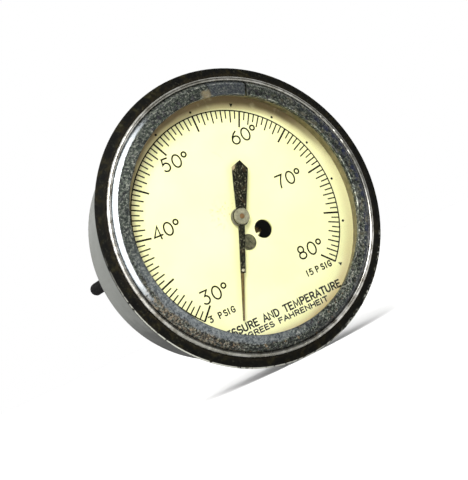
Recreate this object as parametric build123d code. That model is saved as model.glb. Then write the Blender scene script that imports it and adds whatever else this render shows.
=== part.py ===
"""Flush panel pressure gauge with a C-shaped Bourdon tube, built as separate pieces.

Frame: millimetres. The gauge axis is Y. The dial faces -Y, +Z is 12 o'clock and +X is 3 o'clock.
The origin is on the gauge axis, in the plane of the flange's rear face, which seats on the panel.
An angle given as a clock angle is measured clockwise from 12 o'clock as the reader sees the dial.
"""

import os
from math import atan2, cos, degrees, hypot, pi, radians, sin

from build123d import *

# Flange and case: radius, and depth along Y
FLANGE_R = 52.5
FLANGE_EDGE = 0.7
FLANGE_FRONT_Y = -1.57
CASE_R = 45.2
CASE_SHEET = 0.6
CASE_BACK_Y = 35.65
CASE_CORNER_R = 1.6
CASE_NECK_R = 0.5
SHOULDER_R = 48.9
SHOULDER_Y = -1.1

# Front rings and window
TRIM_INNER_R = 47.25
TRIM_OUTER_R = 48.95
TRIM_CREST = 1.05
RING_OUTER_R = 47.15
RING_BEVEL_START_Y = -2.3
RING_BEVEL_END_R = 46.15
RING_BEVEL_END_Y = -3.5
RING_FACE_R = 45.65
RING_FACE_Y = -3.82
RING_LIP_Y = -4.5
RING_LIP_R = 0.4
WINDOW_R = 41.8
GLASS_R = 46.3
GLASS_FRONT_Y = -2.8
GLASS_THICKNESS = 1.4
GLASS_CHAMFER = 0.25
SPACER_SHEET = 0.4
SUPPORT_INNER_R = 41.5
SUPPORT_SHEET = 0.8
SUPPORT_DEPTH = 3.5

# Closing segment of the split retaining ring, in clock angles
KEY_START = 7.7
KEY_END = 26.1
KEY_WIDE_GAP = 0.9
KEY_NARROW_GAP = 0.3
KEY_DROP = 0.2

# Dial
DIAL_R = 44.5
DIAL_Y = 4.5
DIAL_SHEET = 0.8
DIAL_CENTRE_HOLE_R = 2.2
VIEW_HOLE_AT = (7.0, -6.7)
VIEW_HOLE_R = 3.35
INDEX_TAB_ANGLE = 197
INDEX_TAB_REACH = 1.5
INDEX_TAB_HALF = 0.6
DIAL_SCREW_AT = (-0.4, -8.9)
DIAL_SCREW_HEAD_R = 2.8
DIAL_SCREW_HEAD = 0.6
DIAL_SCREW_SHANK_R = 1.2
DIAL_POST_R = 2.4

# Pointer, drawn pointing to 12 o'clock and then turned to its rest angle
REST_CLOCK = 204.8
POINTER_TRAVEL = 300.0
NEEDLE_R = 36.2
NEEDLE_THICKNESS = 0.25
NEEDLE_HALF_WIDTHS = (0.68, 0.34)
NEEDLE_OVERLAP = 2.2
BLADE_R = 19.6
BLADE_Y = 1.9
BLADE_THICKNESS = 0.4
BLADE_HALF_WIDTHS = (1.2, 0.87)
BLADE_BOSS_R = 3.0
TAIL_R = 20.1
TAIL_SHOULDER_R = 17.4
TAIL_HALF_WIDTHS = (1.65, 3.0)
RIVET_AT_R = 18.8
RIVET_R = 0.35
RIVET_HEAD_R = 0.55
RIVET_HEAD = 0.2
HUB_FRONT_Y = 1.25
HUB_BACK_Y = 3.6
HUB_DISC_R = 2.85
HUB_CHAMFER = 0.15
HUB_NECK_R = 1.7
HUB_COLLAR_R = 3.3
HUB_COLLAR = 0.5

# Movement frame
PLATE_THICKNESS = 1.2
PLATE_CORNER_R = 2.8
PLATE_CORNER_AT = (3.0, -18.5)
PLATE_WAIST_AT = (11.0, -6.7)
PLATE_WAIST_R = 5.6
FRONT_PLATE_Y = 8.0
BACK_PLATE_Y = 17.0
PILLARS_AT = ((-4.5, -21.0), (-6.0, 6.5), (6.0, 6.5))
PILLAR_R = 1.6
PILLAR_FOOT_R = 0.85
PILLAR_BORE_R = 0.8
PILLAR_SCREW_DEPTH = 2.4
PILLAR_SCREW_HEAD_R = 1.5
PILLAR_SCREW_TURNS = (20, 75, 140)
MOVEMENT_SCREWS_AT = ((-3.7, -9.5), (3.7, -9.5))
MOVEMENT_SCREW_R = 1.0
MOVEMENT_SCREW_HEAD_R = 1.8
MOVEMENT_SCREW_DEPTH = 4.5
MOVEMENT_SCREW_TURNS = (35, 110)
MOVEMENT_SCREW_HEAD = 0.8
STOP_PIN_R = 0.8
STOP_PIN_REACH = 0.2
STOP_PIN_GAP = 0.12
ARBOR_R = 0.9
RUNNING_GAP = 0.04
END_PLAY = 0.1

# Gears
MODULE = 0.3
ROOT_DEPTH = 1.15
TIP_HEIGHT = 0.8
TOOTH_SHARE = 0.36
PINION_TEETH = 12
PINION_OVERHANG = 0.6
SECTOR_TEETH = 96
SECTOR_SPARE_TEETH = 2
SECTOR_Y = 13.0
SECTOR_THICKNESS = 1.2
SECTOR_RIM = 2.2
SECTOR_SPOKE = 1.8
SECTOR_SPOKE_INSET = 5
SECTOR_BOSS_R = 3.0
SECTOR_COLLAR_R = 1.9
SECTOR_COLLAR = 0.9
TAIL_LEVER_R = 7.0
TAIL_LEVER_WIDTH = 3.4
TAIL_MID_ANGLE = -28.0

# Link and its two pivots
LINK_Y = 14.3
LINK_THICKNESS = 0.8
LINK_WIDTH = 2.2
LINK_TAIL_EYE_R = 1.7
LINK_TIP_EYE_R = 2.0
LINK_PIN_R = 0.7
LINK_END_AT = (22.0, -14.5)
OPEN_PIVOT_GAP = 0.32
CLOSE_PIVOT_GAP = 0.05
PIVOT_SCREW_HEAD = 0.6
TAIL_SCREW_HEAD_R = 1.3
TIP_SCREW_HEAD_R = 1.6

# Bourdon tube and its tip
TUBE_R = 31.0
TUBE_WIDTH = 10.0
TUBE_DEPTH = 2.6
TUBE_WALL = 0.35
TUBE_MID_Y = 24.0
TUBE_START = 185.0
TUBE_SWEEP = 285.0
TUBE_SOCKET_SWEEP = 20
TIP_SWEEP = 6.5
TIP_GAP = 0.05
TIP_WALL = 1.0
TIP_BACK = 0.8
LUG_WIDTH = 4.0
LUG_THICKNESS = 1.2

# Socket
SOCKET_BLOCK = (14, 43, 1.5)
SOCKET_BLOCK_AT = (0, -14.5)
SOCKET_NECK_R = 7.0
SOCKET_HOLE_R = 7.2
SOCKET_BORE_R = 1.6
SOCKET_BORE_DEPTH = 8
SOCKET_SCREWS_AT = ((0.0, -13.5), (0.0, -27.5))
SOCKET_SCREW_R = 1.5
SOCKET_SCREW_HOLE_R = 1.7
SOCKET_SCREW_HEAD_R = 3.2
SOCKET_SCREW_HEAD = 1.6
SOCKET_SCREW_DEPTH = 5.5
SOCKET_SCREW_TURNS = (15, 100)
STEM_R = 5.1
STEM_LENGTH = 11.0
HEX_FLATS = 12.0
HEX_LENGTH = 4.5

# Mounting studs, No. 10
STUD_R = 2.4
STUD_NECK_R = 2.7
STUD_HEAD_R = 3.8
STUD_HEAD = 0.8
STUD_PITCH = 76.2
STUD_END_Y = 63.5
STUD_TIP_FILLET = 2.0

# Hairspring
HAIRSPRING_Y = 10.4
HAIRSPRING_HEIGHT = 0.6
HAIRSPRING_TURNS = 5
HAIRSPRING_OUTER_R = 5.4
HAIRSPRING_STRIP = 0.15
HAIRSPRING_CLEARANCE = 0.01
HAIRSPRING_STUD_R = 0.6
COLLET_R = 1.5
COLLET_OVERHANG = 0.3

# How far a cutting tool runs past the face it leaves by
PAST = 1.0

SOCKET_FRONT_Y = BACK_PLATE_Y + PLATE_THICKNESS
GEAR_RATIO = SECTOR_TEETH / PINION_TEETH
PINION_PITCH_R = MODULE * PINION_TEETH / 2
SECTOR_PITCH_R = MODULE * SECTOR_TEETH / 2
SECTOR_AXIS = (0.0, -(PINION_PITCH_R + SECTOR_PITCH_R))
SECTOR_SWING = POINTER_TRAVEL / GEAR_RATIO
CASE_INNER_R = CASE_R - CASE_SHEET
STUDS_AT = ((-STUD_PITCH / 2, 0.0), (STUD_PITCH / 2, 0.0))
CASE_FLOOR_Y = CASE_BACK_Y - CASE_SHEET
SEAT_Y = SHOULDER_Y + CASE_SHEET
GLASS_BACK_Y = GLASS_FRONT_Y + GLASS_THICKNESS
DIAL_BACK_Y = DIAL_Y + DIAL_SHEET
PILLAR_BORE_END_Y = FRONT_PLATE_Y + PLATE_THICKNESS + PILLAR_SCREW_DEPTH + 0.2
STEM_START_Y = CASE_BACK_Y + HEX_LENGTH
LUG_Y = LINK_Y + LINK_THICKNESS + 0.2
BLADE_BACK_Y = BLADE_Y + BLADE_THICKNESS
HAIRSPRING_STUD_AT = (-(HAIRSPRING_OUTER_R + HAIRSPRING_STRIP / 2 + HAIRSPRING_STUD_R), 0.0)
TAIL_REST_ANGLE = TAIL_MID_ANGLE - SECTOR_SWING / 2
TAIL_PIN_AT = (
    SECTOR_AXIS[0] + TAIL_LEVER_R * cos(radians(TAIL_REST_ANGLE)),
    SECTOR_AXIS[1] + TAIL_LEVER_R * sin(radians(TAIL_REST_ANGLE)),
)
# The tail pin swings on an arc while the tube tip travels straight, so the tip's pin sits
# half the arc's rise to the outer side of the link's open hole.
ARC_RISE = TAIL_LEVER_R * (1 - cos(radians(SECTOR_SWING / 2)))
TIP_PIN_AT = (
    LINK_END_AT[0] + ARC_RISE / 2 * cos(radians(TAIL_MID_ANGLE)),
    LINK_END_AT[1] + ARC_RISE / 2 * sin(radians(TAIL_MID_ANGLE)),
)


def slab(sketch, front_y, back_y):
    """A flat piece: a sketch drawn in (X, Z), filled from front_y to back_y."""
    return extrude(Plane.XZ.offset(-back_y) * sketch, back_y - front_y)


def rod(at, radius, front_y, back_y):
    """A cylinder along Y at the point (x, z)."""
    return slab(Pos(at[0], at[1]) * Circle(radius), front_y, back_y)


def turned(points, arc=360.0, clock_from=90.0):
    """A ring or disc turned about the gauge axis from (radius, y) points.

    A point with a third value is the middle of an arc to the next point.
    """
    edges = []
    start = points[0]
    middle = None
    for point in points[1:] + [points[0]]:
        if len(point) == 3:
            middle = point[:2]
            continue
        if middle is None:
            edges.append(Line(start, point))
        else:
            edges.append(ThreePointArc(start, middle, point))
        start = point
        middle = None
    section = make_face(edges)
    return Rot(0, clock_from - 90, 0) * revolve(section, Axis.Y, arc)


def at_clock(radius, clock):
    """The (x, z) point at a radius and a clock angle."""
    return (radius * sin(radians(clock)), radius * cos(radians(clock)))


def bar(start, end, width):
    """A sketch of a round-ended bar between two (x, z) points."""
    length = hypot(end[0] - start[0], end[1] - start[1])
    turn = degrees(atan2(end[1] - start[1], end[0] - start[0]))
    middle = ((start[0] + end[0]) / 2, (start[1] + end[1]) / 2)
    return Pos(*middle) * Rot(0, 0, turn) * SlotOverall(length + width, width)


def slotted_screw(at, head_r, head_y, under_head_y, shank_r, end_y, slot_turn=0.0):
    """A slotted screw at (x, z): its head faces head_y, and its shank ends at end_y."""
    side = 1 if end_y > under_head_y else -1
    head = rod(at, head_r, *sorted((head_y, under_head_y)))
    shank = rod(at, shank_r, *sorted((under_head_y, end_y)))
    slot = Pos(*at) * Rot(0, 0, slot_turn) * Rectangle(2.2 * head_r, 0.28 * head_r)
    slot_floor_y = head_y + side * 0.45 * abs(under_head_y - head_y)
    return head + shank - slab(slot, *sorted((head_y - side * 0.2, slot_floor_y)))


# ---- Case and front ----


def make_case_shell():
    cup = turned(
        [
            (0, CASE_BACK_Y),
            (CASE_R - CASE_CORNER_R, CASE_BACK_Y),
            (CASE_R - 0.293 * CASE_CORNER_R, CASE_BACK_Y - 0.293 * CASE_CORNER_R, "arc"),
            (CASE_R, CASE_BACK_Y - CASE_CORNER_R),
            (CASE_R, SEAT_Y + CASE_NECK_R),
            (CASE_R + 0.293 * CASE_NECK_R, SEAT_Y + 0.293 * CASE_NECK_R, "arc"),
            (CASE_R + CASE_NECK_R, SEAT_Y),
            (SHOULDER_R, SEAT_Y),
            (SHOULDER_R, SHOULDER_Y),
            (CASE_INNER_R, SHOULDER_Y),
            (CASE_INNER_R, CASE_FLOOR_Y),
            (0, CASE_FLOOR_Y),
        ]
    )
    holes = [rod((0, 0), SOCKET_HOLE_R, CASE_FLOOR_Y - PAST, CASE_BACK_Y + PAST)]
    for at in STUDS_AT:
        holes.append(rod(at, STUD_NECK_R, CASE_FLOOR_Y - PAST, CASE_BACK_Y + PAST))
    for at in SOCKET_SCREWS_AT:
        holes.append(rod(at, SOCKET_SCREW_HOLE_R, CASE_FLOOR_Y - PAST, CASE_BACK_Y + PAST))
    for hole in holes:
        cup -= hole
    return cup


def make_front_flange():
    bore_r = CASE_R + CASE_NECK_R + 0.05
    return turned(
        [
            (bore_r, 0),
            (FLANGE_R - 0.15, 0),
            (FLANGE_R - 0.04, -0.04, "arc"),
            (FLANGE_R, -0.15),
            (FLANGE_R, 0.2 - FLANGE_EDGE),
            (FLANGE_R - 0.08, 0.05 - FLANGE_EDGE, "arc"),
            (FLANGE_R - 0.25, -FLANGE_EDGE - 0.05),
            (TRIM_OUTER_R + 0.25, FLANGE_FRONT_Y),
            (TRIM_OUTER_R + 0.09, FLANGE_FRONT_Y + 0.06, "arc"),
            (TRIM_OUTER_R + 0.03, FLANGE_FRONT_Y + 0.2),
            (TRIM_OUTER_R + 0.03, SEAT_Y),
            (bore_r, SEAT_Y),
        ]
    )


def make_trim_ring():
    crest_r = (TRIM_INNER_R + TRIM_OUTER_R) / 2
    return turned(
        [
            (TRIM_INNER_R, SHOULDER_Y),
            (TRIM_OUTER_R, SHOULDER_Y),
            (TRIM_OUTER_R, FLANGE_FRONT_Y - 0.25),
            (crest_r, FLANGE_FRONT_Y - TRIM_CREST, "arc"),
            (TRIM_INNER_R, FLANGE_FRONT_Y - 0.45),
        ]
    )


def ring_section(drop):
    """Section of the retaining ring, with its top lowered by drop: a bevel outside a gentle cone."""
    return [
        (RING_OUTER_R - 0.8, SHOULDER_Y),
        (RING_OUTER_R, SHOULDER_Y),
        (RING_OUTER_R, RING_BEVEL_START_Y + drop),
        (RING_BEVEL_END_R, RING_BEVEL_END_Y + drop),
        (RING_FACE_R + 0.27, RING_FACE_Y + 0.13 + drop, "arc"),
        (RING_FACE_R, RING_FACE_Y + drop),
        (WINDOW_R + RING_LIP_R + 0.05, RING_LIP_Y + drop),
        (WINDOW_R + 0.1, RING_LIP_Y + 0.1 + drop, "arc"),
        (WINDOW_R, RING_LIP_Y + RING_LIP_R + drop),
        (WINDOW_R, GLASS_FRONT_Y),
        (RING_OUTER_R - 0.8, GLASS_FRONT_Y),
    ]


def make_retaining_ring():
    gap = KEY_END - KEY_START
    return turned(ring_section(0), arc=360 - gap, clock_from=KEY_END)


def make_ring_key():
    start = KEY_START + KEY_NARROW_GAP
    end = KEY_END - KEY_WIDE_GAP
    return turned(ring_section(KEY_DROP), arc=end - start, clock_from=start)


def make_window_glass():
    return turned(
        [
            (0, GLASS_FRONT_Y),
            (GLASS_R - GLASS_CHAMFER, GLASS_FRONT_Y),
            (GLASS_R, GLASS_FRONT_Y + GLASS_CHAMFER),
            (GLASS_R, GLASS_BACK_Y - GLASS_CHAMFER),
            (GLASS_R - GLASS_CHAMFER, GLASS_BACK_Y),
            (0, GLASS_BACK_Y),
        ]
    )


def ring(inner_r, outer_r, front_y, back_y):
    """A plain flat ring about the gauge axis."""
    return slab(Circle(outer_r) - Circle(inner_r), front_y, back_y)


def make_window_gasket():
    return ring(CASE_INNER_R + 0.05, GLASS_R, GLASS_BACK_Y, SHOULDER_Y)


def make_spacer_ring():
    outer_r = CASE_INNER_R - 0.05
    return ring(outer_r - SPACER_SHEET, outer_r, GLASS_BACK_Y, DIAL_Y)


def make_dial_support_ring():
    seat = ring(SUPPORT_INNER_R, CASE_INNER_R, DIAL_BACK_Y, DIAL_BACK_Y + SUPPORT_SHEET)
    leg = ring(CASE_INNER_R - 0.7, CASE_INNER_R, DIAL_BACK_Y, DIAL_BACK_Y + SUPPORT_DEPTH)
    return seat + leg


def make_mounting_studs():
    studs = []
    for at in STUDS_AT:
        head = rod(at, STUD_HEAD_R, CASE_FLOOR_Y - STUD_HEAD, CASE_FLOOR_Y)
        neck = rod(at, STUD_NECK_R, CASE_FLOOR_Y, CASE_BACK_Y)
        shank = rod(at, STUD_R, CASE_BACK_Y, STUD_END_Y)
        tip_edge = shank.edges().sort_by(Axis.Y)[-1]
        studs.append(head + neck + fillet(tip_edge, STUD_TIP_FILLET))
    return Compound(children=studs)


# ---- Dial ----


def index_tab():
    """The small pointed tab on the view hole's lower left edge, as a sketch."""
    base_r = VIEW_HOLE_R + 0.4
    outline = Polygon(
        (base_r, -INDEX_TAB_HALF),
        (base_r, INDEX_TAB_HALF),
        (VIEW_HOLE_R - INDEX_TAB_REACH, 0),
        align=None,
    )
    return Pos(*VIEW_HOLE_AT) * Rot(0, 0, INDEX_TAB_ANGLE) * outline


def make_dial_plate():
    dial = slab(Circle(DIAL_R), DIAL_Y, DIAL_BACK_Y)
    dial -= rod((0, 0), DIAL_CENTRE_HOLE_R, DIAL_Y - PAST, DIAL_BACK_Y + PAST)
    dial -= rod(DIAL_SCREW_AT, DIAL_SCREW_SHANK_R + 0.1, DIAL_Y - PAST, DIAL_BACK_Y + PAST)
    hole = Pos(*VIEW_HOLE_AT) * Circle(VIEW_HOLE_R) - index_tab()
    return dial - slab(hole, DIAL_Y - PAST, DIAL_BACK_Y + PAST)


def make_dial_screw():
    head_y = DIAL_Y - DIAL_SCREW_HEAD
    screw = slotted_screw(
        DIAL_SCREW_AT, DIAL_SCREW_HEAD_R, head_y, DIAL_Y, DIAL_SCREW_SHANK_R, FRONT_PLATE_Y, 118
    )
    rim = [
        edge
        for edge in screw.edges().filter_by(GeomType.CIRCLE)
        if abs(edge.radius - DIAL_SCREW_HEAD_R) < 0.01 and abs(edge.center().Y - head_y) < 0.01
    ]
    return chamfer(rim, 0.2)


def make_dial_post():
    post = rod(DIAL_SCREW_AT, DIAL_POST_R, DIAL_BACK_Y, FRONT_PLATE_Y)
    bore_r = DIAL_SCREW_SHANK_R + 0.05
    return post - rod(DIAL_SCREW_AT, bore_r, DIAL_BACK_Y - PAST, FRONT_PLATE_Y + PAST)


# ---- Movement frame ----


def plate_outline():
    """Outline of both movement plates: a waisted plate round the three pillars."""
    corners = [Pos(*at) * Circle(PLATE_CORNER_R) for at in (*PILLARS_AT, PLATE_CORNER_AT)]
    edges = [corner.edge() for corner in corners]
    return make_hull(edges) - Pos(*PLATE_WAIST_AT) * Circle(PLATE_WAIST_R)


def make_movement_plate(front_y):
    back_y = front_y + PLATE_THICKNESS
    plate = slab(plate_outline(), front_y, back_y)
    for at in ((0, 0), SECTOR_AXIS):
        plate -= rod(at, ARBOR_R + RUNNING_GAP, front_y - PAST, back_y + PAST)
    for at in PILLARS_AT:
        plate -= rod(at, PILLAR_FOOT_R, front_y - PAST, back_y + PAST)
    return plate


def make_movement_front_plate():
    return make_movement_plate(FRONT_PLATE_Y)


def make_movement_back_plate():
    plate = make_movement_plate(BACK_PLATE_Y)
    for at in MOVEMENT_SCREWS_AT:
        plate -= rod(at, MOVEMENT_SCREW_R + 0.05, BACK_PLATE_Y - PAST, SOCKET_FRONT_Y + PAST)
    for at in stop_pins_at():
        plate -= rod(at, STOP_PIN_R, BACK_PLATE_Y - PAST, SOCKET_FRONT_Y + PAST)
    return plate


def make_movement_pillars():
    pillars = []
    for at in PILLARS_AT:
        post = rod(at, PILLAR_R, FRONT_PLATE_Y + PLATE_THICKNESS, BACK_PLATE_Y)
        foot = rod(at, PILLAR_FOOT_R, BACK_PLATE_Y, SOCKET_FRONT_Y)
        bore = rod(at, PILLAR_BORE_R, FRONT_PLATE_Y, PILLAR_BORE_END_Y)
        pillars.append(post + foot - bore)
    return Compound(children=pillars)


def make_pillar_screws():
    head_y = FRONT_PLATE_Y - MOVEMENT_SCREW_HEAD
    end_y = FRONT_PLATE_Y + PLATE_THICKNESS + PILLAR_SCREW_DEPTH
    screws = []
    for at, turn in zip(PILLARS_AT, PILLAR_SCREW_TURNS):
        screws.append(
            slotted_screw(at, PILLAR_SCREW_HEAD_R, head_y, FRONT_PLATE_Y, PILLAR_BORE_R, end_y, turn)
        )
    return Compound(children=screws)


def make_movement_screws():
    head_y = BACK_PLATE_Y - MOVEMENT_SCREW_HEAD
    end_y = SOCKET_FRONT_Y + MOVEMENT_SCREW_DEPTH
    screws = []
    for at, turn in zip(MOVEMENT_SCREWS_AT, MOVEMENT_SCREW_TURNS):
        screws.append(
            slotted_screw(at, MOVEMENT_SCREW_HEAD_R, head_y, BACK_PLATE_Y, MOVEMENT_SCREW_R, end_y, turn)
        )
    return Compound(children=screws)


def stop_pins_at():
    """Centres of the two pins that stop the sector's tail at each end of its swing."""
    reach = TAIL_LEVER_R + STOP_PIN_REACH
    half_tail = degrees((TAIL_LEVER_WIDTH / 2 + STOP_PIN_R + STOP_PIN_GAP) / reach)
    angles = (TAIL_REST_ANGLE - half_tail, TAIL_REST_ANGLE + SECTOR_SWING + half_tail)
    return [
        (SECTOR_AXIS[0] + reach * cos(radians(a)), SECTOR_AXIS[1] + reach * sin(radians(a)))
        for a in angles
    ]


def make_sector_stop_pins():
    return Compound(
        children=[rod(at, STOP_PIN_R, SECTOR_Y, SOCKET_FRONT_Y) for at in stop_pins_at()]
    )


# ---- Gears ----


def tooth(pitch_r):
    """One straight-flanked tooth on the +Y side of a local sketch, from root to blunt tip."""
    half = TOOTH_SHARE * pi * MODULE / 2
    root_r = pitch_r - ROOT_DEPTH * MODULE
    tip_r = pitch_r + TIP_HEIGHT * MODULE
    return Polygon(
        (1.25 * half, root_r - 0.2),
        (1.25 * half, root_r),
        (half, pitch_r),
        (0.5 * half, tip_r),
        (-0.5 * half, tip_r),
        (-half, pitch_r),
        (-1.25 * half, root_r),
        (-1.25 * half, root_r - 0.2),
        align=None,
    )


def make_pinion_arbor():
    root = Circle(PINION_PITCH_R - ROOT_DEPTH * MODULE)
    # A gap between two teeth faces the sector at rest.
    step = 360 / PINION_TEETH
    turns = [180 + (i + 0.5) * step for i in range(PINION_TEETH)]
    leaves = [Rot(0, 0, turn) * tooth(PINION_PITCH_R) for turn in turns]
    pinion_back_y = SECTOR_Y + SECTOR_THICKNESS + PINION_OVERHANG
    pinion = slab(root + leaves, SECTOR_Y - PINION_OVERHANG, pinion_back_y)
    arbor = rod((0, 0), ARBOR_R, HUB_FRONT_Y - 0.2, SOCKET_FRONT_Y - END_PLAY)
    front_edge = arbor.edges().sort_by(Axis.Y)[0]
    return pinion + chamfer(front_edge, 0.2)


def annular_sector(inner_r, outer_r, start, sweep):
    """A sketch of part of a ring, with angles anticlockwise from +X."""
    angles = [radians(start + sweep * i / 4) for i in range(5)]
    reach = 2 * outer_r
    wedge = Polygon((0, 0), *[(reach * cos(a), reach * sin(a)) for a in angles], align=None)
    return (Circle(outer_r) - Circle(inner_r)) & wedge


def make_sector_gear():
    step = 360 / SECTOR_TEETH
    first = -SECTOR_SPARE_TEETH
    last = round(SECTOR_SWING / step) + SECTOR_SPARE_TEETH
    # Teeth run clockwise from the mesh point, because the sector turns anticlockwise.
    root_r = SECTOR_PITCH_R - ROOT_DEPTH * MODULE
    fan_start = 90 - (last + 0.5) * step
    fan_sweep = (last - first + 1) * step
    rim = annular_sector(root_r - SECTOR_RIM, root_r, fan_start, fan_sweep)
    spoke_angles = (
        fan_start + SECTOR_SPOKE_INSET,
        fan_start + fan_sweep / 2,
        fan_start + fan_sweep - SECTOR_SPOKE_INSET,
    )
    spoke = Pos(root_r / 2, 0) * Rectangle(root_r - 1.0, SECTOR_SPOKE)
    spokes = [Rot(0, 0, angle) * spoke for angle in spoke_angles]
    teeth = [Rot(0, 0, -i * step) * tooth(SECTOR_PITCH_R) for i in range(first, last + 1)]
    tail_end = (TAIL_PIN_AT[0] - SECTOR_AXIS[0], TAIL_PIN_AT[1] - SECTOR_AXIS[1])
    tail = bar((0, 0), tail_end, TAIL_LEVER_WIDTH)
    outline = Circle(SECTOR_BOSS_R) + rim + spokes + teeth + tail
    outline -= Circle(ARBOR_R)
    outline -= Pos(*tail_end) * Circle(LINK_PIN_R)
    return slab(Pos(*SECTOR_AXIS) * outline, SECTOR_Y, SECTOR_Y + SECTOR_THICKNESS)


def make_sector_arbor():
    arbor = rod(SECTOR_AXIS, ARBOR_R, FRONT_PLATE_Y + END_PLAY, SOCKET_FRONT_Y - END_PLAY)
    collar = rod(SECTOR_AXIS, SECTOR_COLLAR_R, SECTOR_Y - SECTOR_COLLAR, SECTOR_Y)
    return arbor + collar


# ---- Link and Bourdon tube ----


def make_link():
    link = bar(TAIL_PIN_AT, LINK_END_AT, LINK_WIDTH)
    link += Pos(*TAIL_PIN_AT) * Circle(LINK_TAIL_EYE_R)
    link += Pos(*LINK_END_AT) * Circle(LINK_TIP_EYE_R)
    link -= Pos(*TAIL_PIN_AT) * Circle(LINK_PIN_R + CLOSE_PIVOT_GAP)
    link -= Pos(*LINK_END_AT) * Circle(LINK_PIN_R + OPEN_PIVOT_GAP)
    return slab(link, LINK_Y, LINK_Y + LINK_THICKNESS)


def make_tail_pivot_screw():
    under_head_y = LINK_Y + LINK_THICKNESS + 0.1
    head_y = under_head_y + PIVOT_SCREW_HEAD
    return slotted_screw(TAIL_PIN_AT, TAIL_SCREW_HEAD_R, head_y, under_head_y, LINK_PIN_R, SECTOR_Y, 60)


def tube_section(grow):
    """Round-ended section of the tube in (radius, y), grown by an amount all round."""
    slot = SlotOverall(TUBE_WIDTH + 2 * grow, TUBE_DEPTH + 2 * grow, rotation=90)
    return Pos(TUBE_R, TUBE_MID_Y) * slot


def make_bourdon_tube():
    wall = tube_section(0) - tube_section(-TUBE_WALL)
    return Rot(0, TUBE_START - 90, 0) * revolve(wall, Axis.Y, TUBE_SWEEP)


def make_tube_tip():
    start = (TUBE_START + TUBE_SWEEP) % 360 + TIP_GAP
    inner_r = TUBE_R - TUBE_DEPTH / 2 - TIP_WALL
    outer_r = TUBE_R + TUBE_DEPTH / 2 + TIP_WALL
    back_y = TUBE_MID_Y + TUBE_WIDTH / 2 + TIP_BACK
    section = [(inner_r, LUG_Y), (outer_r, LUG_Y), (outer_r, back_y), (inner_r, back_y)]
    block = turned(section, arc=TIP_SWEEP, clock_from=start)
    root = at_clock(TUBE_R, start + TIP_SWEEP / 2)
    lug_back_y = LUG_Y + LUG_THICKNESS
    lug = slab(bar(TIP_PIN_AT, root, LUG_WIDTH), LUG_Y, lug_back_y)
    lug &= rod((0, 0), outer_r, LUG_Y, lug_back_y)
    return block + lug - rod(TIP_PIN_AT, LINK_PIN_R, LUG_Y - PAST, lug_back_y + PAST)


def make_tip_pivot_screw():
    under_head_y = LINK_Y - 0.2
    head_y = under_head_y - PIVOT_SCREW_HEAD
    end_y = LUG_Y + LUG_THICKNESS
    return slotted_screw(TIP_PIN_AT, TIP_SCREW_HEAD_R, head_y, under_head_y, LINK_PIN_R, end_y, 25)


def make_socket_block():
    width, height, corner_r = SOCKET_BLOCK
    outline = Pos(*SOCKET_BLOCK_AT) * RectangleRounded(width, height, corner_r)
    body = slab(outline, SOCKET_FRONT_Y, CASE_FLOOR_Y)
    neck = rod((0, 0), SOCKET_NECK_R, SOCKET_FRONT_Y + 2, CASE_BACK_Y)
    hexagon = RegularPolygon(HEX_FLATS / 2, 6, major_radius=False)
    stem_end_y = STEM_START_Y + STEM_LENGTH
    stem = rod((0, 0), STEM_R, STEM_START_Y, stem_end_y)
    socket = body + neck + slab(hexagon, CASE_BACK_Y, STEM_START_Y) + stem
    cuts = [rod((0, 0), SOCKET_BORE_R, CASE_FLOOR_Y - SOCKET_BORE_DEPTH, stem_end_y + PAST)]
    cuts.append(Rot(0, TUBE_START - 90, 0) * revolve(tube_section(0), Axis.Y, TUBE_SOCKET_SWEEP))
    for at in MOVEMENT_SCREWS_AT:
        end_y = SOCKET_FRONT_Y + MOVEMENT_SCREW_DEPTH + 0.5
        cuts.append(rod(at, MOVEMENT_SCREW_R, SOCKET_FRONT_Y - PAST, end_y))
    for at in SOCKET_SCREWS_AT:
        start_y = CASE_FLOOR_Y - SOCKET_SCREW_DEPTH - 0.5
        cuts.append(rod(at, SOCKET_SCREW_R, start_y, CASE_FLOOR_Y + PAST))
    for cut in cuts:
        socket = socket.cut(cut)
    return socket


def make_socket_screws():
    head_y = CASE_BACK_Y + SOCKET_SCREW_HEAD
    end_y = CASE_FLOOR_Y - SOCKET_SCREW_DEPTH
    screws = []
    for at, turn in zip(SOCKET_SCREWS_AT, SOCKET_SCREW_TURNS):
        screws.append(
            slotted_screw(at, SOCKET_SCREW_HEAD_R, head_y, CASE_BACK_Y, SOCKET_SCREW_R, end_y, turn)
        )
    return Compound(children=screws)


# ---- Hairspring ----


def make_hairspring():
    """A flat spiral of half rings: each is centred a little to one side of the last."""
    halves = 2 * HAIRSPRING_TURNS
    clear_of_collet = COLLET_R + HAIRSPRING_CLEARANCE + HAIRSPRING_STRIP / 2
    grow = (HAIRSPRING_OUTER_R - clear_of_collet) / halves
    strip = None
    centre = 0.0
    for i in range(halves):
        radius = HAIRSPRING_OUTER_R - i * grow
        half_ring = Circle(radius + HAIRSPRING_STRIP / 2) - Circle(radius - HAIRSPRING_STRIP / 2)
        side = 1 if i % 2 == 0 else -1
        half_ring &= Pos(0, side * 10) * Rectangle(40, 20)
        placed = Pos(centre, 0) * half_ring
        strip = placed if strip is None else strip + placed
        centre += side * grow
    return slab(strip, HAIRSPRING_Y, HAIRSPRING_Y + HAIRSPRING_HEIGHT)


def make_hairspring_stud():
    back_y = HAIRSPRING_Y + HAIRSPRING_HEIGHT + 0.4
    return rod(HAIRSPRING_STUD_AT, HAIRSPRING_STUD_R, FRONT_PLATE_Y + PLATE_THICKNESS, back_y)


def make_hairspring_collet():
    front_y = HAIRSPRING_Y - COLLET_OVERHANG
    back_y = HAIRSPRING_Y + HAIRSPRING_HEIGHT + COLLET_OVERHANG
    return rod((0, 0), COLLET_R, front_y, back_y) - rod((0, 0), ARBOR_R, front_y - PAST, back_y + PAST)


# ---- Pointer ----


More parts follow.
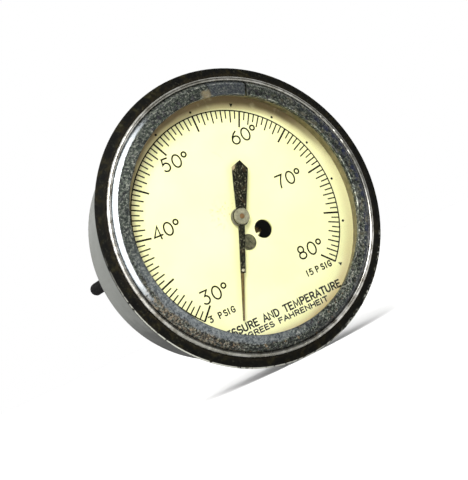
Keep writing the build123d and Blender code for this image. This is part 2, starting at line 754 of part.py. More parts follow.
def to_rest(piece):
    """Turns a pointer piece from 12 o'clock to the rest angle."""
    return Rot(0, REST_CLOCK, 0) * piece


def make_pointer_hub():
    hub = rod((0, 0), HUB_DISC_R, HUB_FRONT_Y, BLADE_Y)
    hub = chamfer(hub.edges().sort_by(Axis.Y)[0], HUB_CHAMFER)
    hub += rod((0, 0), HUB_NECK_R, BLADE_Y, HUB_BACK_Y)
    hub += rod((0, 0), HUB_COLLAR_R, HUB_BACK_Y - HUB_COLLAR, HUB_BACK_Y)
    return hub - rod((0, 0), ARBOR_R, HUB_FRONT_Y - PAST, HUB_BACK_Y + PAST)


def make_pointer_blade():
    root, end = BLADE_HALF_WIDTHS
    arm = Polygon((-root, 0), (root, 0), (end, BLADE_R), (-end, BLADE_R), align=None)
    waist, shoulder = TAIL_HALF_WIDTHS
    tail = Polygon(
        (-waist, 0),
        (-shoulder, -TAIL_SHOULDER_R),
        (0, -TAIL_R),
        (shoulder, -TAIL_SHOULDER_R),
        (waist, 0),
        align=None,
    )
    outline = arm + tail + Circle(BLADE_BOSS_R) - Circle(HUB_NECK_R)
    outline -= Pos(0, RIVET_AT_R) * Circle(RIVET_R)
    return to_rest(slab(outline, BLADE_Y, BLADE_BACK_Y))


def make_pointer_needle():
    root, end = NEEDLE_HALF_WIDTHS
    start_r = BLADE_R - NEEDLE_OVERLAP
    outline = Polygon(
        (-root, start_r),
        (-end, NEEDLE_R - 0.5),
        (0, NEEDLE_R),
        (end, NEEDLE_R - 0.5),
        (root, start_r),
        align=None,
    )
    outline -= Pos(0, RIVET_AT_R) * Circle(RIVET_R)
    return to_rest(slab(outline, BLADE_BACK_Y, BLADE_BACK_Y + NEEDLE_THICKNESS))


def make_pointer_rivet():
    shank = rod((0, RIVET_AT_R), RIVET_R, BLADE_Y, BLADE_BACK_Y + NEEDLE_THICKNESS)
    head = rod((0, RIVET_AT_R), RIVET_HEAD_R, BLADE_Y - RIVET_HEAD, BLADE_Y)
    return to_rest(head + shank)


PIECES = {
    "case_shell": make_case_shell,
    "front_flange": make_front_flange,
    "trim_ring": make_trim_ring,
    "retaining_ring": make_retaining_ring,
    "ring_key": make_ring_key,
    "window_glass": make_window_glass,
    "window_gasket": make_window_gasket,
    "spacer_ring": make_spacer_ring,
    "dial_support_ring": make_dial_support_ring,
    "mounting_studs": make_mounting_studs,
    "dial_plate": make_dial_plate,
    "dial_screw": make_dial_screw,
    "dial_post": make_dial_post,
    "movement_front_plate": make_movement_front_plate,
    "movement_back_plate": make_movement_back_plate,
    "movement_pillars": make_movement_pillars,
    "pillar_screws": make_pillar_screws,
    "movement_screws": make_movement_screws,
    "sector_stop_pins": make_sector_stop_pins,
    "socket_block": make_socket_block,
    "socket_screws": make_socket_screws,
    "bourdon_tube": make_bourdon_tube,
    "hairspring": make_hairspring,
    "hairspring_stud": make_hairspring_stud,
    "sector_gear": make_sector_gear,
    "sector_arbor": make_sector_arbor,
    "tail_pivot_screw": make_tail_pivot_screw,
    "link": make_link,
    "tube_tip": make_tube_tip,
    "tip_pivot_screw": make_tip_pivot_screw,
    "pinion_arbor": make_pinion_arbor,
    "hairspring_collet": make_hairspring_collet,
    "pointer_hub": make_pointer_hub,
    "pointer_blade": make_pointer_blade,
    "pointer_needle": make_pointer_needle,
    "pointer_rivet": make_pointer_rivet,
}

os.makedirs("parts", exist_ok=True)
for name, make in PIECES.items():
    piece = make()
    piece.label = name
    export_step(piece, "parts/" + name + ".step")
    print(name, round(piece.volume, 2))
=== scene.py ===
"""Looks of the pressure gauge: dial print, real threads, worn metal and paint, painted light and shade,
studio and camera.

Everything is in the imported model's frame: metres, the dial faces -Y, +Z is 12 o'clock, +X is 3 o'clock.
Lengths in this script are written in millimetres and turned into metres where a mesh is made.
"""
from math import atan2, cos, hypot, pi, radians, sin, tau

import bpy
import bmesh
from mathutils import Matrix, Vector


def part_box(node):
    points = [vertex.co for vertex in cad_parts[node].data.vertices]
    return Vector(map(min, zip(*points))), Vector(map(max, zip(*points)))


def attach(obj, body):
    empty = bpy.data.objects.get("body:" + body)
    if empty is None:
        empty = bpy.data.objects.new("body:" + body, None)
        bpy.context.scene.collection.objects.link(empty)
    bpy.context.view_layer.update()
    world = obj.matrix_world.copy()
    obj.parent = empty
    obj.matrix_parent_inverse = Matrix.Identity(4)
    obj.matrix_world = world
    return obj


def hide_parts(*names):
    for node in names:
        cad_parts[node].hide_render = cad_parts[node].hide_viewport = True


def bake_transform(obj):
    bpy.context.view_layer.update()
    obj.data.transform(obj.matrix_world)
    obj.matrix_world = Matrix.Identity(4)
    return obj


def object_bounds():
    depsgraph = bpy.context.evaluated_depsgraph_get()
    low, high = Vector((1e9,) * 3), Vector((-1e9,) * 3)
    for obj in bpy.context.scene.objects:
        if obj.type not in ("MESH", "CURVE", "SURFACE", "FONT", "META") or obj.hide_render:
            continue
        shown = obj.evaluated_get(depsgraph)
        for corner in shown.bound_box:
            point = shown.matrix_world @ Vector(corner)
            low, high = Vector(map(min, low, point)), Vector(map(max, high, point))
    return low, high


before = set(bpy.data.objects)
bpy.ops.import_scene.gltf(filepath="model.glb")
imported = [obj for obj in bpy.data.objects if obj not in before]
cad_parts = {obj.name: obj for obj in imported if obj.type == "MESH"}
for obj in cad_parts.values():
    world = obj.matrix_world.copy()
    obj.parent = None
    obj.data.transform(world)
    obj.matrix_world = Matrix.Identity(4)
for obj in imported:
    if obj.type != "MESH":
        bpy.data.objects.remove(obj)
CAD_LOW, CAD_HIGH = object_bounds()

MM = 0.001
SCENE = bpy.context.scene

# ---- Camera: where it stands (mm), its own axes, its lens (mm) ----
CAMERA_AT = Vector((-182.68, -371.37, -23.91)) * MM
CAMERA_RIGHT = Vector((0.82940163, -0.37234025, -0.4164801))
CAMERA_UP = Vector((0.36043309, -0.21293647, 0.9081553))
CAMERA_BACK = Vector((-0.42682657, -0.90333869, -0.04240611))
CAMERA_LENS = 91.21
SENSOR_WIDTH = 36
CAMERA_CLIP = (0.01, 20)

# ---- Studio: name, place (mm), size (mm), watts; the world's strengths; the floor ----
LIGHTS = (
    ("key_light", (-240, -470, 360), (340, 340), 7.5),
    ("side_light", (-425, -225, 130), (240, 440), 1.6),
)
FRONT = (0.35, -0.93, 0.10)
FRONT_SPREAD = (0.45, 0.88)
FRONT_DIM = 0.88
HORIZON_STRENGTH = 1.05
ZENITH_STRENGTH = 1.9
SKY_RISE = (-0.05, 0.7)
FLOOR_Z = CAD_LOW.z / MM - 0.05
FLOOR_HALF = 3000

# ---- Dial print: radii, line widths, tick (length, width) ----
DIAL_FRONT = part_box("dial_plate")[0].y / MM
PRINT_LIFT = 0.03
SCALE_R = 38.73
SCALE_LINE = 0.46
FIRST_CLOCK = -135.0
SCALE_SWEEP = 270.0
SCALE_STEPS = 180
HALF_DEGREES = 100
LONG_TICK = (5.9, 0.66)
MEDIUM_TICK = (4.4, 0.50)
SHORT_TICK = (3.0, 0.46)
PSI_FIRST = 3
PSI_LAST = 15
PSI_DOT_R = 40.2
PSI_DOT_SIZE = 0.46
PSI_MARK = (39.85, 41.3, 0.66)      # tip radius, base radius, half width
NUMBER_HALF_HEIGHT = 2.22
NUMBER_LINE = 0.60
TENS_STEP = 4.25                    # from the tens to the nought
RING_STEP = 3.40                    # from the nought to the degree ring
RING_RISE = 1.22
RING_R = 0.86
NUMBERS_AT = {
    "3": (-23.45, -20.18),
    "4": (-29.75, 5.95),
    "5": (-16.60, 26.25),
    "6": (11.82, 26.28),
    "7": (20.75, 6.12),
    "8": (16.75, -19.78),
}
END_LABELS = (                      # height, then the place of each character
    (-27.62, ((-24.98, "3"), (-21.35, "P"), (-19.25, "S"), (-17.93, "I"), (-16.20, "G"))),
    (-27.20, ((15.25, "1"), (16.90, "5"), (19.55, "P"), (21.85, "S"), (23.25, "I"), (24.85, "G"))),
)
END_LABEL_SIZE = (0.98, 0.50)       # half height, line width
WORDS = (                           # text, left, right, height, half height, line width
    ("PRESSURE AND TEMPERATURE", -26.4, 25.3, -34.85, 1.18, 0.60),
    ("DEGREES FAHRENHEIT", -19.4, 18.3, -37.85, 0.82, 0.48),
)
LETTER_GAP = 0.42
CAP_STEPS = 6                       # to the round end of a stroke
SCRATCH = ((1.4, 24.6), (2.6, 23.6), (3.5, 22.3), (3.9, 21.0))
SCRATCH_WIDTH = 0.28

# ---- Pointer: its rest angle, and a shoulder of its tail as drawn at 12 o'clock ----
REST_CLOCK = 204.8
TAIL_SHOULDER = (3.0, -17.4)

# ---- Fittings at the back: radii and places along Y ----
STUD_AT = (-38.1, 38.1)
STUD_NECK = (2.7, 35.05, 35.65)     # radius, front, back
STUD_HEAD = (3.8, 34.25, 35.05)
STUD_THREAD_R = 2.4
STUD_PITCH = 0.794
STUD_THREAD = (0.46, 2.0, 1.2)      # depth, tip rounding, lead-in
STEM_R = 5.1
STEM_BORE_R = 1.6
STEM_PITCH = 0.941
STEM_THREAD = (0.50, 0.6, 1.0)
STEM_START_Y = 40.15
STEM_SLACK = 0.01                   # how far from the hexagon's face a point still lies on it
BORE_SLACK = 0.1                    # and from the bore's wall
THREAD_STEPS = (48, 8)              # points round the thread, rows to a pitch
SHARP_ANGLE = radians(35)
SEAL_INNER_R = 6.95
SEAL_OUTER_R = 7.25
SEAL_INSET = (0.8, 0.2)             # how far its faces lie in front of the case back
SEAL_STEPS = 64
TOUCHING = 0.001

# ---- Wear and painted light: the clock angle it centres on, and how far it spreads as a share of a half turn ----
RING_LIT = (262, 0.5)
RING_NAVY = (92, 0.26)
RING_OLIVE = (85, 0.34)
RING_RUST = (200, 0.40)
RING_SMOOTH = (222, 0.34)
RING_PAINTED_HIGHLIGHT = (293, 0.26)
RING_TAN = (234, 0.17)
RING_SOOT = (200, 0.36)
RING_SHADE = (110, 0.42)
RING_GILT = (5.6, 0.018)
BEAD_HIGHLIGHTS = ((290, 0.34), (142, 0.24))
FLANGE_RUBBED_AND_HIGHLIGHT = (200, 0.45)
FLANGE_CHIPPED = (138, 0.16)
DIAL_TOP_SHADOW = (345, 0.60)
DIAL_RIM_SHADOW = (332, 0.66)

# ---- Wear and painted light: bands where it sets in, from none to full, in radius unless the name says a side ----
RING_NAVY_BAND = (43.8, 44.8)
RING_SMOOTH_BAND = (45.0, 44.2)
RING_TAN_BAND = (43.8, 45.4)
RING_SOOT_BAND = (43.4, 45.2)
RING_SHADE_BAND = (45.0, 46.0)
RING_GILT_BAND = (44.6, 43.8)
BEVEL_BAND = (45.55, 46.30)
HIGHLIGHT_CORE_BAND = (47.05, 46.75)
BESIDE_BEAD_BAND = (50.6, 49.1)
FLANGE_RIM_BAND = (51.2, 52.2)
FLANGE_EDGE_BAND = (52.05, 52.25)
FLANGE_FRONT_BAND = (-0.42, -0.55)  # along Y
CASE_SIDE_BAND = (43.6, 45.1)
UNDERSIDE_SHADE_BAND = (-2.0, -24.0)      # along Z
DIAL_MARGIN_SHADOW_BAND = (40.4, 43.8)
DIAL_LEFT_BAND = (60.0, 10.0)       # along X
DIAL_TOP_SHADOW_BAND = (38.8, 40.2)
DIAL_RIM_SHADOW_BAND = (40.0, 42.0)
NEAR_HUB_BAND = (8.5, 2.0)
RUBBED_BAND = (2.3, 1.5)

# ---- Other wear, the lean of the dial's painted shadow, and metal colours ----
SHADOW_LEAN = 0.04                    # how much wider the painted shadow at the dial's margin is on the left
RUST_AT = (-4.5, 3.5)
TURNING_MARKS = 26.0
DIAL_POST_AT = (-0.4, -8.9)         # these four are (x, z) of turned pieces off the gauge's axis
SECTOR_AT = (0, -16.2)
TAIL_PIVOT_AT = (4.8, -21.3)
TIP_PIVOT_AT = (22.2, -14.6)
BRASS_DARK = (0.36, 0.24, 0.09)
BRASS_LIGHT = (0.72, 0.54, 0.26)
BRONZE_DARK = (0.30, 0.16, 0.07)
BRONZE_LIGHT = (0.66, 0.42, 0.22)
STEEL_DARK = (0.20, 0.20, 0.19)
STEEL_LIGHT = (0.52, 0.52, 0.50)


# ---------------------------------------------------------------- meshes

def add_object(name, data):
    obj = bpy.data.objects.new(name, data)
    SCENE.collection.objects.link(obj)
    return obj


def make_object(name, verts, faces):
    """A mesh object from points in millimetres."""
    mesh = bpy.data.meshes.new(name)
    mesh.from_pydata([[c * MM for c in v] for v in verts], [], faces)
    mesh.validate()
    mesh.update()
    return add_object(name, mesh)


class Print:
    """Flat ink marks in the dial's plane, gathered into one thin mesh."""

    def __init__(self):
        self.verts = []
        self.faces = []

    def polygon(self, points):
        start = len(self.verts)
        self.verts += [(x, DIAL_FRONT - PRINT_LIFT, z) for x, z in points]
        self.faces.append(list(range(start, start + len(points))))

    def stroke(self, points, width, closed=False):
        """A ribbon of constant width along a polyline, with round ends."""
        half = width / 2
        count = len(points)
        left = []
        right = []
        for i, (x, z) in enumerate(points):
            before = points[(i - 1) % count] if closed or i > 0 else None
            after = points[(i + 1) % count] if closed or i < count - 1 else None
            tangents = []
            if before is not None:
                tangents.append(unit(x - before[0], z - before[1]))
            if after is not None:
                tangents.append(unit(after[0] - x, after[1] - z))
            tx, tz = unit(sum(t[0] for t in tangents), sum(t[1] for t in tangents))
            spread = half
            if len(tangents) == 2:
                spread = half / max(0.5, tangents[0][0] * tx + tangents[0][1] * tz)
            left.append((x - tz * spread, z + tx * spread))
            right.append((x + tz * spread, z - tx * spread))
        start = len(self.verts)
        y = DIAL_FRONT - PRINT_LIFT
        for a, b in zip(left, right):
            self.verts.append((a[0], y, a[1]))
            self.verts.append((b[0], y, b[1]))
        steps = count if closed else count - 1
        for i in range(steps):
            a = start + 2 * i
            b = start + 2 * ((i + 1) % count)
            self.faces.append([a, a + 1, b + 1, b])
        if not closed:
            for end, inner in ((points[0], points[1]), (points[-1], points[-2])):
                self.cap(end, inner, half)

    def cap(self, end, inner, half):
        """A half disc that rounds off the end of a stroke."""
        away = atan2(end[1] - inner[1], end[0] - inner[0])
        angles = [away - pi / 2 + pi * k / CAP_STEPS for k in range(CAP_STEPS + 1)]
        self.polygon([(end[0] + half * cos(a), end[1] + half * sin(a)) for a in angles])

    def build(self, name, material):
        obj = make_object(name, self.verts, self.faces)
        mesh = bmesh.new()
        mesh.from_mesh(obj.data)
        for face in mesh.faces:
            if face.normal.y > 0:
                face.normal_flip()
        mesh.to_mesh(obj.data)
        mesh.free()
        obj.data.materials.append(material)
        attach(obj, "case")
        return obj


def unit(x, z):
    length = hypot(x, z) or 1.0
    return x / length, z / length


def clock_point(radius, clock):
    return radius * sin(radians(clock)), radius * cos(radians(clock))


def arc(cx, cz, rx, rz, start, end, steps=24):
    """Points of an elliptical arc, in degrees anticlockwise from +X."""
    angles = [radians(start + (end - start) * i / steps) for i in range(steps + 1)]
    return [(cx + rx * cos(a), cz + rz * sin(a)) for a in angles]


# Monoline lettering in a cell 2 units high, centred on the glyph.
ZERO = [arc(0, 0, 0.70, 1.0, 0, 345, 23) + [(0.70, 0)]]
GLYPHS = {
    "0": ZERO,
    "1": [[(0, 1), (0, -1)]],
    "3": [[(-0.62, 1), (0.55, 1), (-0.12, 0.22)] + arc(-0.1, -0.37, 0.62, 0.63, 72, -140, 16)],
    "4": [[(0.32, -1), (0.32, 1), (-0.72, -0.48), (0.70, -0.48)]],
    "5": [[(0.52, 1), (-0.35, 1), (-0.52, 0.10)] + arc(-0.06, -0.35, 0.62, 0.65, 115, -140, 18)],
    "6": [arc(0, -0.36, 0.64, 0.64, 150, -210, 24), [(0.42, 1), (-0.02, 0.72), (-0.42, 0.28), (-0.62, -0.2)]],
    "7": [[(-0.62, 1), (0.62, 1), (0.18, 0.25), (-0.12, -0.45), (-0.22, -1)]],
    "8": [arc(0, 0.50, 0.50, 0.50, -90, 270, 20), arc(0, -0.48, 0.62, 0.52, 90, 450, 22)],
    "A": [[(-0.68, -1), (0, 1), (0.68, -1)], [(-0.42, -0.35), (0.42, -0.35)]],
    "D": [[(-0.55, -1), (-0.55, 1)] + arc(-0.15, 0, 0.75, 1.0, 90, -90, 14) + [(-0.55, -1)]],
    "E": [[(0.5, 1), (-0.5, 1), (-0.5, -1), (0.5, -1)], [(-0.5, 0.05), (0.36, 0.05)]],
    "F": [[(0.5, 1), (-0.5, 1), (-0.5, -1)], [(-0.5, 0.05), (0.34, 0.05)]],
    "G": [arc(0.05, 0, 0.68, 1.0, 42, 318, 20) + [(0.58, -0.1), (0.08, -0.1)]],
    "H": [[(-0.6, -1), (-0.6, 1)], [(0.6, -1), (0.6, 1)], [(-0.6, 0.05), (0.6, 0.05)]],
    "I": [[(0, -1), (0, 1)]],
    "M": [[(-0.78, -1), (-0.66, 1), (0, -0.7), (0.66, 1), (0.78, -1)]],
    "N": [[(-0.6, -1), (-0.6, 1), (0.6, -1), (0.6, 1)]],
    "P": [[(-0.5, -1), (-0.5, 1)] + arc(0.1, 0.48, 0.45, 0.52, 90, -90, 12) + [(-0.5, -0.04)]],
    "R": [[(-0.5, -1), (-0.5, 1)] + arc(0.1, 0.48, 0.45, 0.52, 90, -90, 12) + [(-0.5, -0.04)],
          [(0.05, -0.04), (0.56, -1)]],
    "S": [arc(0, 0.50, 0.50, 0.50, 35, 255, 14) + arc(0, -0.48, 0.56, 0.52, 75, -150, 16)],
    "T": [[(-0.62, 1), (0.62, 1)], [(0, 1), (0, -1)]],
    "U": [[(-0.58, 1), (-0.58, -0.4)] + arc(0, -0.4, 0.58, 0.6, 180, 360, 12) + [(0.58, 1)]],
}
GLYPH_WIDTHS = {
    "I": 0.35, "1": 0.45, "M": 1.75, " ": 0.85, "E": 1.1, "F": 1.05, "S": 1.15, "P": 1.15, "T": 1.2,
}


def draw_glyph(ink, glyph, x, z, half_height, width, stretch=1.0):
    for line in GLYPHS[glyph]:
        ink.stroke([(x + half_height * stretch * px, z + half_height * pz) for px, pz in line], width)


def draw_line(ink, text, left, right, z, half_height, width):
    """A line of capitals spread evenly between left and right."""
    widths = [GLYPH_WIDTHS.get(c, 1.3) for c in text]
    pitch = (right - left) / (sum(widths) + LETTER_GAP * (len(text) - 1))
    x = left
    for c, w in zip(text, widths):
        if c != " ":
            draw_glyph(ink, c, x + pitch * w / 2, z, half_height, width, stretch=pitch / half_height)
        x += pitch * (w + LETTER_GAP)


# ---------------------------------------------------------------- materials

class Graph:
    """A material's node graph, with short calls for the nodes it is made of."""

    def __init__(self, name):
        self.material = bpy.data.materials.new(name)
        self.material.use_nodes = True
        self.tree = self.material.node_tree
        self.tree.nodes.clear()
        coords = self.tree.nodes.new("ShaderNodeTexCoord")
        scale = self.tree.nodes.new("ShaderNodeVectorMath")
        scale.operation = "SCALE"
        scale.inputs["Scale"].default_value = 1 / MM
        self.link(coords.outputs["Object"], scale.inputs[0])
        self.mm = scale.outputs[0]

    def link(self, source, target):
        self.tree.links.new(source, target)

    def put(self, socket, value):
        if isinstance(value, bpy.types.NodeSocket):
            self.link(value, socket)
        elif isinstance(value, (tuple, list)) and len(value) == 3 and socket.type == "RGBA":
            socket.default_value = (*value, 1)
        else:
            socket.default_value = value

    def maths(self, operation, *values):
        node = self.tree.nodes.new("ShaderNodeMath")
        node.operation = operation
        for socket, value in zip(node.inputs, values):
            self.put(socket, value)
        return node.outputs[0]

    def times(self, a, b):
        return self.maths("MULTIPLY", a, b)

    def plus(self, a, b):
        return self.maths("ADD", a, b)

    def minus(self, a, b):
        return self.maths("SUBTRACT", a, b)

    def noise(self, scale, detail=3.0, rough=0.55, distortion=0.0, seed=0.0, stretch=None):
        """Noise with `scale` waves per millimetre, about 0 to 1."""
        vector = self.mm
        node = self.tree.nodes.new("ShaderNodeTexNoise")
        if seed or stretch:
            place = self.tree.nodes.new("ShaderNodeMapping")
            place.inputs["Location"].default_value = (seed * 7.3, seed * 3.1, seed * 5.7)
            place.inputs["Scale"].default_value = stretch or (1, 1, 1)
            self.link(vector, place.inputs["Vector"])
            vector = place.outputs[0]
        self.link(vector, node.inputs["Vector"])
        node.inputs["Scale"].default_value = scale
        node.inputs["Detail"].default_value = detail
        node.inputs["Roughness"].default_value = rough
        node.inputs["Distortion"].default_value = distortion
        return node.outputs["Fac"]

    def window(self, value, low, high):
        """0 up to low and 1 past high, eased between; low may be the larger of the two."""
        node = self.tree.nodes.new("ShaderNodeMapRange")
        node.interpolation_type = "SMOOTHSTEP"
        self.put(node.inputs["Value"], value)
        if low < high:
            node.inputs["From Min"].default_value = low
            node.inputs["From Max"].default_value = high
            return node.outputs["Result"]
        node.inputs["From Min"].default_value = high
        node.inputs["From Max"].default_value = low
        return self.minus(1.0, node.outputs["Result"])

    def axis(self, name):
        node = self.tree.nodes.new("ShaderNodeSeparateXYZ")
        self.link(self.mm, node.inputs[0])
        return node.outputs[name]

    def radius(self, centre=None):
        """Distance from the gauge's axis, or from another axis along Y through centre (x, z)."""
        x = self.axis("X")
        z = self.axis("Z")
        if centre:
            x = self.minus(x, centre[0])
            z = self.minus(z, centre[1])
        return self.maths("SQRT", self.plus(self.times(x, x), self.times(z, z)))

    def facing_clock(self, clock, share):
        """1 towards a clock angle, 0 past `share` of a half turn away from it."""
        x = self.axis("X")
        z = self.axis("Z")
        along = self.plus(self.times(x, sin(radians(clock))), self.times(z, cos(radians(clock))))
        cosine = self.maths("DIVIDE", along, self.plus(self.radius(), 0.001))
        return self.window(cosine, cos(radians(180 * share)), 1.0)

    def ramp(self, value, stops):
        node = self.tree.nodes.new("ShaderNodeValToRGB")
        self.put(node.inputs["Fac"], value)
        elements = node.color_ramp.elements
        while len(elements) > 1:
            elements.remove(elements[-1])
        elements[0].position = stops[0][0]
        elements[0].color = (*stops[0][1], 1)
        for position, color in stops[1:]:
            elements.new(position).color = (*color, 1)
        return node.outputs["Color"]

    def mix(self, factor, a, b):
        node = self.tree.nodes.new("ShaderNodeMix")
        node.data_type = "RGBA"
        self.put(node.inputs["Factor"], factor)
        self.put(node.inputs["A"], a)
        self.put(node.inputs["B"], b)
        return node.outputs["Result"]

    def stain(self, color, mask, amount, tint):
        """`color` with `tint` laid over it where mask is 1, at that strength."""
        return self.mix(self.times(mask, amount), color, tint)

    def bump(self, height, strength, distance):
        node = self.tree.nodes.new("ShaderNodeBump")
        node.inputs["Strength"].default_value = strength
        node.inputs["Distance"].default_value = distance * MM
        self.link(height, node.inputs["Height"])
        return node.outputs["Normal"]

    def finish(self, color, rough, metallic=0.0, normal=None, **sockets):
        shader = self.tree.nodes.new("ShaderNodeBsdfPrincipled")
        output = self.tree.nodes.new("ShaderNodeOutputMaterial")
        self.put(shader.inputs["Base Color"], color)
        self.put(shader.inputs["Roughness"], rough)
        self.put(shader.inputs["Metallic"], metallic)
        if normal is not None:
            self.link(normal, shader.inputs["Normal"])
        for name, value in sockets.items():
            self.put(shader.inputs[name.replace("_", " ")], value)
        self.link(shader.outputs[0], output.inputs["Surface"])
        return self.material


def pitted_chrome(g, fine):
    """Dark chrome with pale specks, a little green or purple from place to place, grey on the lit side."""
    pitted = g.ramp(
        fine,
        [(0.40, (0.002, 0.002, 0.002)), (0.47, (0.012, 0.015, 0.013)), (0.52, (0.050, 0.058, 0.048)),
         (0.57, (0.12, 0.13, 0.105)), (0.65, (0.36, 0.35, 0.30))],
    )
    tint = g.noise(0.9, detail=3, rough=0.6, seed=17)
    pitted = g.mix(g.times(g.window(tint, 0.54, 0.66), 0.45), pitted, (0.045, 0.060, 0.040))
    pitted = g.mix(g.times(g.window(tint, 0.44, 0.34), 0.45), pitted, (0.055, 0.045, 0.060))
    lit = g.mix(g.window(fine, 0.50, 0.66), (0.010, 0.012, 0.011), (0.14, 0.15, 0.13))
    return g.mix(g.times(g.facing_clock(*RING_LIT), 0.55), pitted, lit)


def face_blotches(g, color, fine, ragged):
    """Navy and olive on the right, rust at the bottom, smooth and grey inside at the lower left."""
    navy_zone = g.times(g.facing_clock(*RING_NAVY), g.window(ragged, *RING_NAVY_BAND))
    navy = g.times(navy_zone, g.window(g.noise(0.4, detail=3, seed=7), 0.42, 0.58))
    color = g.stain(color, navy, 0.75, (0.012, 0.016, 0.050))
    olive = g.times(g.facing_clock(*RING_OLIVE), g.window(g.noise(0.5, detail=3, seed=9), 0.54, 0.64))
    color = g.stain(color, olive, 0.5, (0.15, 0.135, 0.085))
    rust = g.times(g.window(g.noise(0.8, detail=3, seed=11), 0.60, 0.68), g.facing_clock(*RING_RUST))
    color = g.stain(color, rust, 0.45, (0.26, 0.17, 0.09))
    smooth_zone = g.times(g.facing_clock(*RING_SMOOTH), g.window(ragged, *RING_SMOOTH_BAND))
    smooth_grey = g.ramp(
        fine, [(0.38, (0.030, 0.036, 0.040)), (0.50, (0.085, 0.095, 0.100)), (0.62, (0.150, 0.160, 0.160))]
    )
    return g.mix(smooth_zone, color, smooth_grey)


def bevel_highlight_chrome(g, painted_highlight, r):
    """A painted highlight: a light metal colour where the highlight mask is full, dull and spotted where it
    fades out.
    """
    highlight_core = g.window(r, *HIGHLIGHT_CORE_BAND)
    highlight_tone = g.mix(highlight_core, (0.26, 0.29, 0.31), (0.74, 0.78, 0.81))
    color = g.mix(painted_highlight, (0.060, 0.070, 0.074), highlight_tone)
    spots = g.window(g.noise(1.1, detail=4, rough=0.7, seed=13), 0.50, 0.58)
    return g.mix(g.times(spots, g.window(painted_highlight, 0.55, 0.15)), color, (0.02, 0.02, 0.018))


def edge_blotches(g, color, ragged):
    """Towards the ring's outer edge: tan, then soot at the lower left and bottom, and painted shade in dark
    blue on the right.
    """
    tan_zone = g.times(g.window(ragged, *RING_TAN_BAND), g.facing_clock(*RING_TAN))
    tan = g.times(tan_zone, g.window(g.noise(0.9, detail=5, rough=0.75, seed=4), 0.46, 0.58))
    color = g.stain(color, tan, 0.6, (0.24, 0.19, 0.13))
    soot_zone = g.times(g.window(ragged, *RING_SOOT_BAND), g.facing_clock(*RING_SOOT))
    soot = g.times(soot_zone, g.window(g.noise(1.1, detail=5, rough=0.75, seed=19), 0.50, 0.56))
    color = g.stain(color, soot, 0.9, (0.006, 0.006, 0.006))
    # Painted shade: the outer edge is darkened to dark blue on the right, the side away from the light.
    shaded_edge = g.times(g.window(ragged, *RING_SHADE_BAND), g.facing_clock(*RING_SHADE))
    return g.stain(color, shaded_edge, 0.75, (0.008, 0.010, 0.018))


def ring_chrome(name, key=False):
    """Old chrome gone dark and pitted, with a painted highlight on its bevelled outer edge on the left."""
    g = Graph(name)
    fine = g.noise(1.25, detail=5, rough=0.78, seed=1)
    coarse = g.noise(0.30, detail=4, rough=0.6, distortion=0.6, seed=2)
    r = g.radius()
    ragged = g.plus(r, g.times(g.minus(coarse, 0.5), 2.6))
    color = face_blotches(g, pitted_chrome(g, fine), fine, ragged)
    # Painted highlight: on the left only, the bevelled edge gets a light metal colour and less roughness and
    # bump.
    painted_highlight = g.facing_clock(*RING_PAINTED_HIGHLIGHT)
    speckled = g.plus(r, g.times(g.minus(fine, 0.5), 0.45))
    bevel_highlight = g.times(g.window(speckled, *BEVEL_BAND), g.window(painted_highlight, 0.0, 0.22))
    color = g.mix(bevel_highlight, color, bevel_highlight_chrome(g, painted_highlight, r))
    color = edge_blotches(g, color, ragged)
    # A gilt corner beside the key.
    gilt = g.times(g.facing_clock(*RING_GILT), g.window(ragged, *RING_GILT_BAND))
    color = g.stain(color, gilt, 0.6, (0.24, 0.20, 0.12))
    if key:
        color = g.mix(0.35, color, (0.060, 0.068, 0.085))
    pit_rough = g.plus(0.30, g.times(g.window(fine, 0.62, 0.35), 0.35))
    rough = g.minus(pit_rough, g.times(bevel_highlight, 0.12))
    height = g.times(fine, g.minus(1.0, g.times(bevel_highlight, 0.85)))
    return g.finish(color, rough, 0.85, g.bump(height, 0.40, 0.10))


def trim_metal(name):
    g = Graph(name)
    tarnish = g.noise(0.35, detail=4, rough=0.6, seed=3)
    spots = g.window(g.noise(1.6, detail=3, rough=0.6, seed=5), 0.60, 0.70)
    color = g.ramp(
        tarnish, [(0.35, (0.15, 0.135, 0.11)), (0.52, (0.34, 0.33, 0.30)), (0.68, (0.56, 0.55, 0.52))]
    )
    color = g.stain(color, spots, 0.6, (0.10, 0.085, 0.06))
    # Painted highlights: the bead keeps its lighter colour only on the left and at the lower right, and is
    # darkened elsewhere.
    highlighted = g.maths("MAXIMUM", *(g.facing_clock(*place) for place in BEAD_HIGHLIGHTS))
    color = g.mix(highlighted, g.mix(0.7, color, (0.10, 0.10, 0.085)), color)
    rough = g.plus(0.20, g.times(tarnish, 0.16))
    return g.finish(color, rough, 0.95, g.bump(tarnish, 0.2, 0.05))


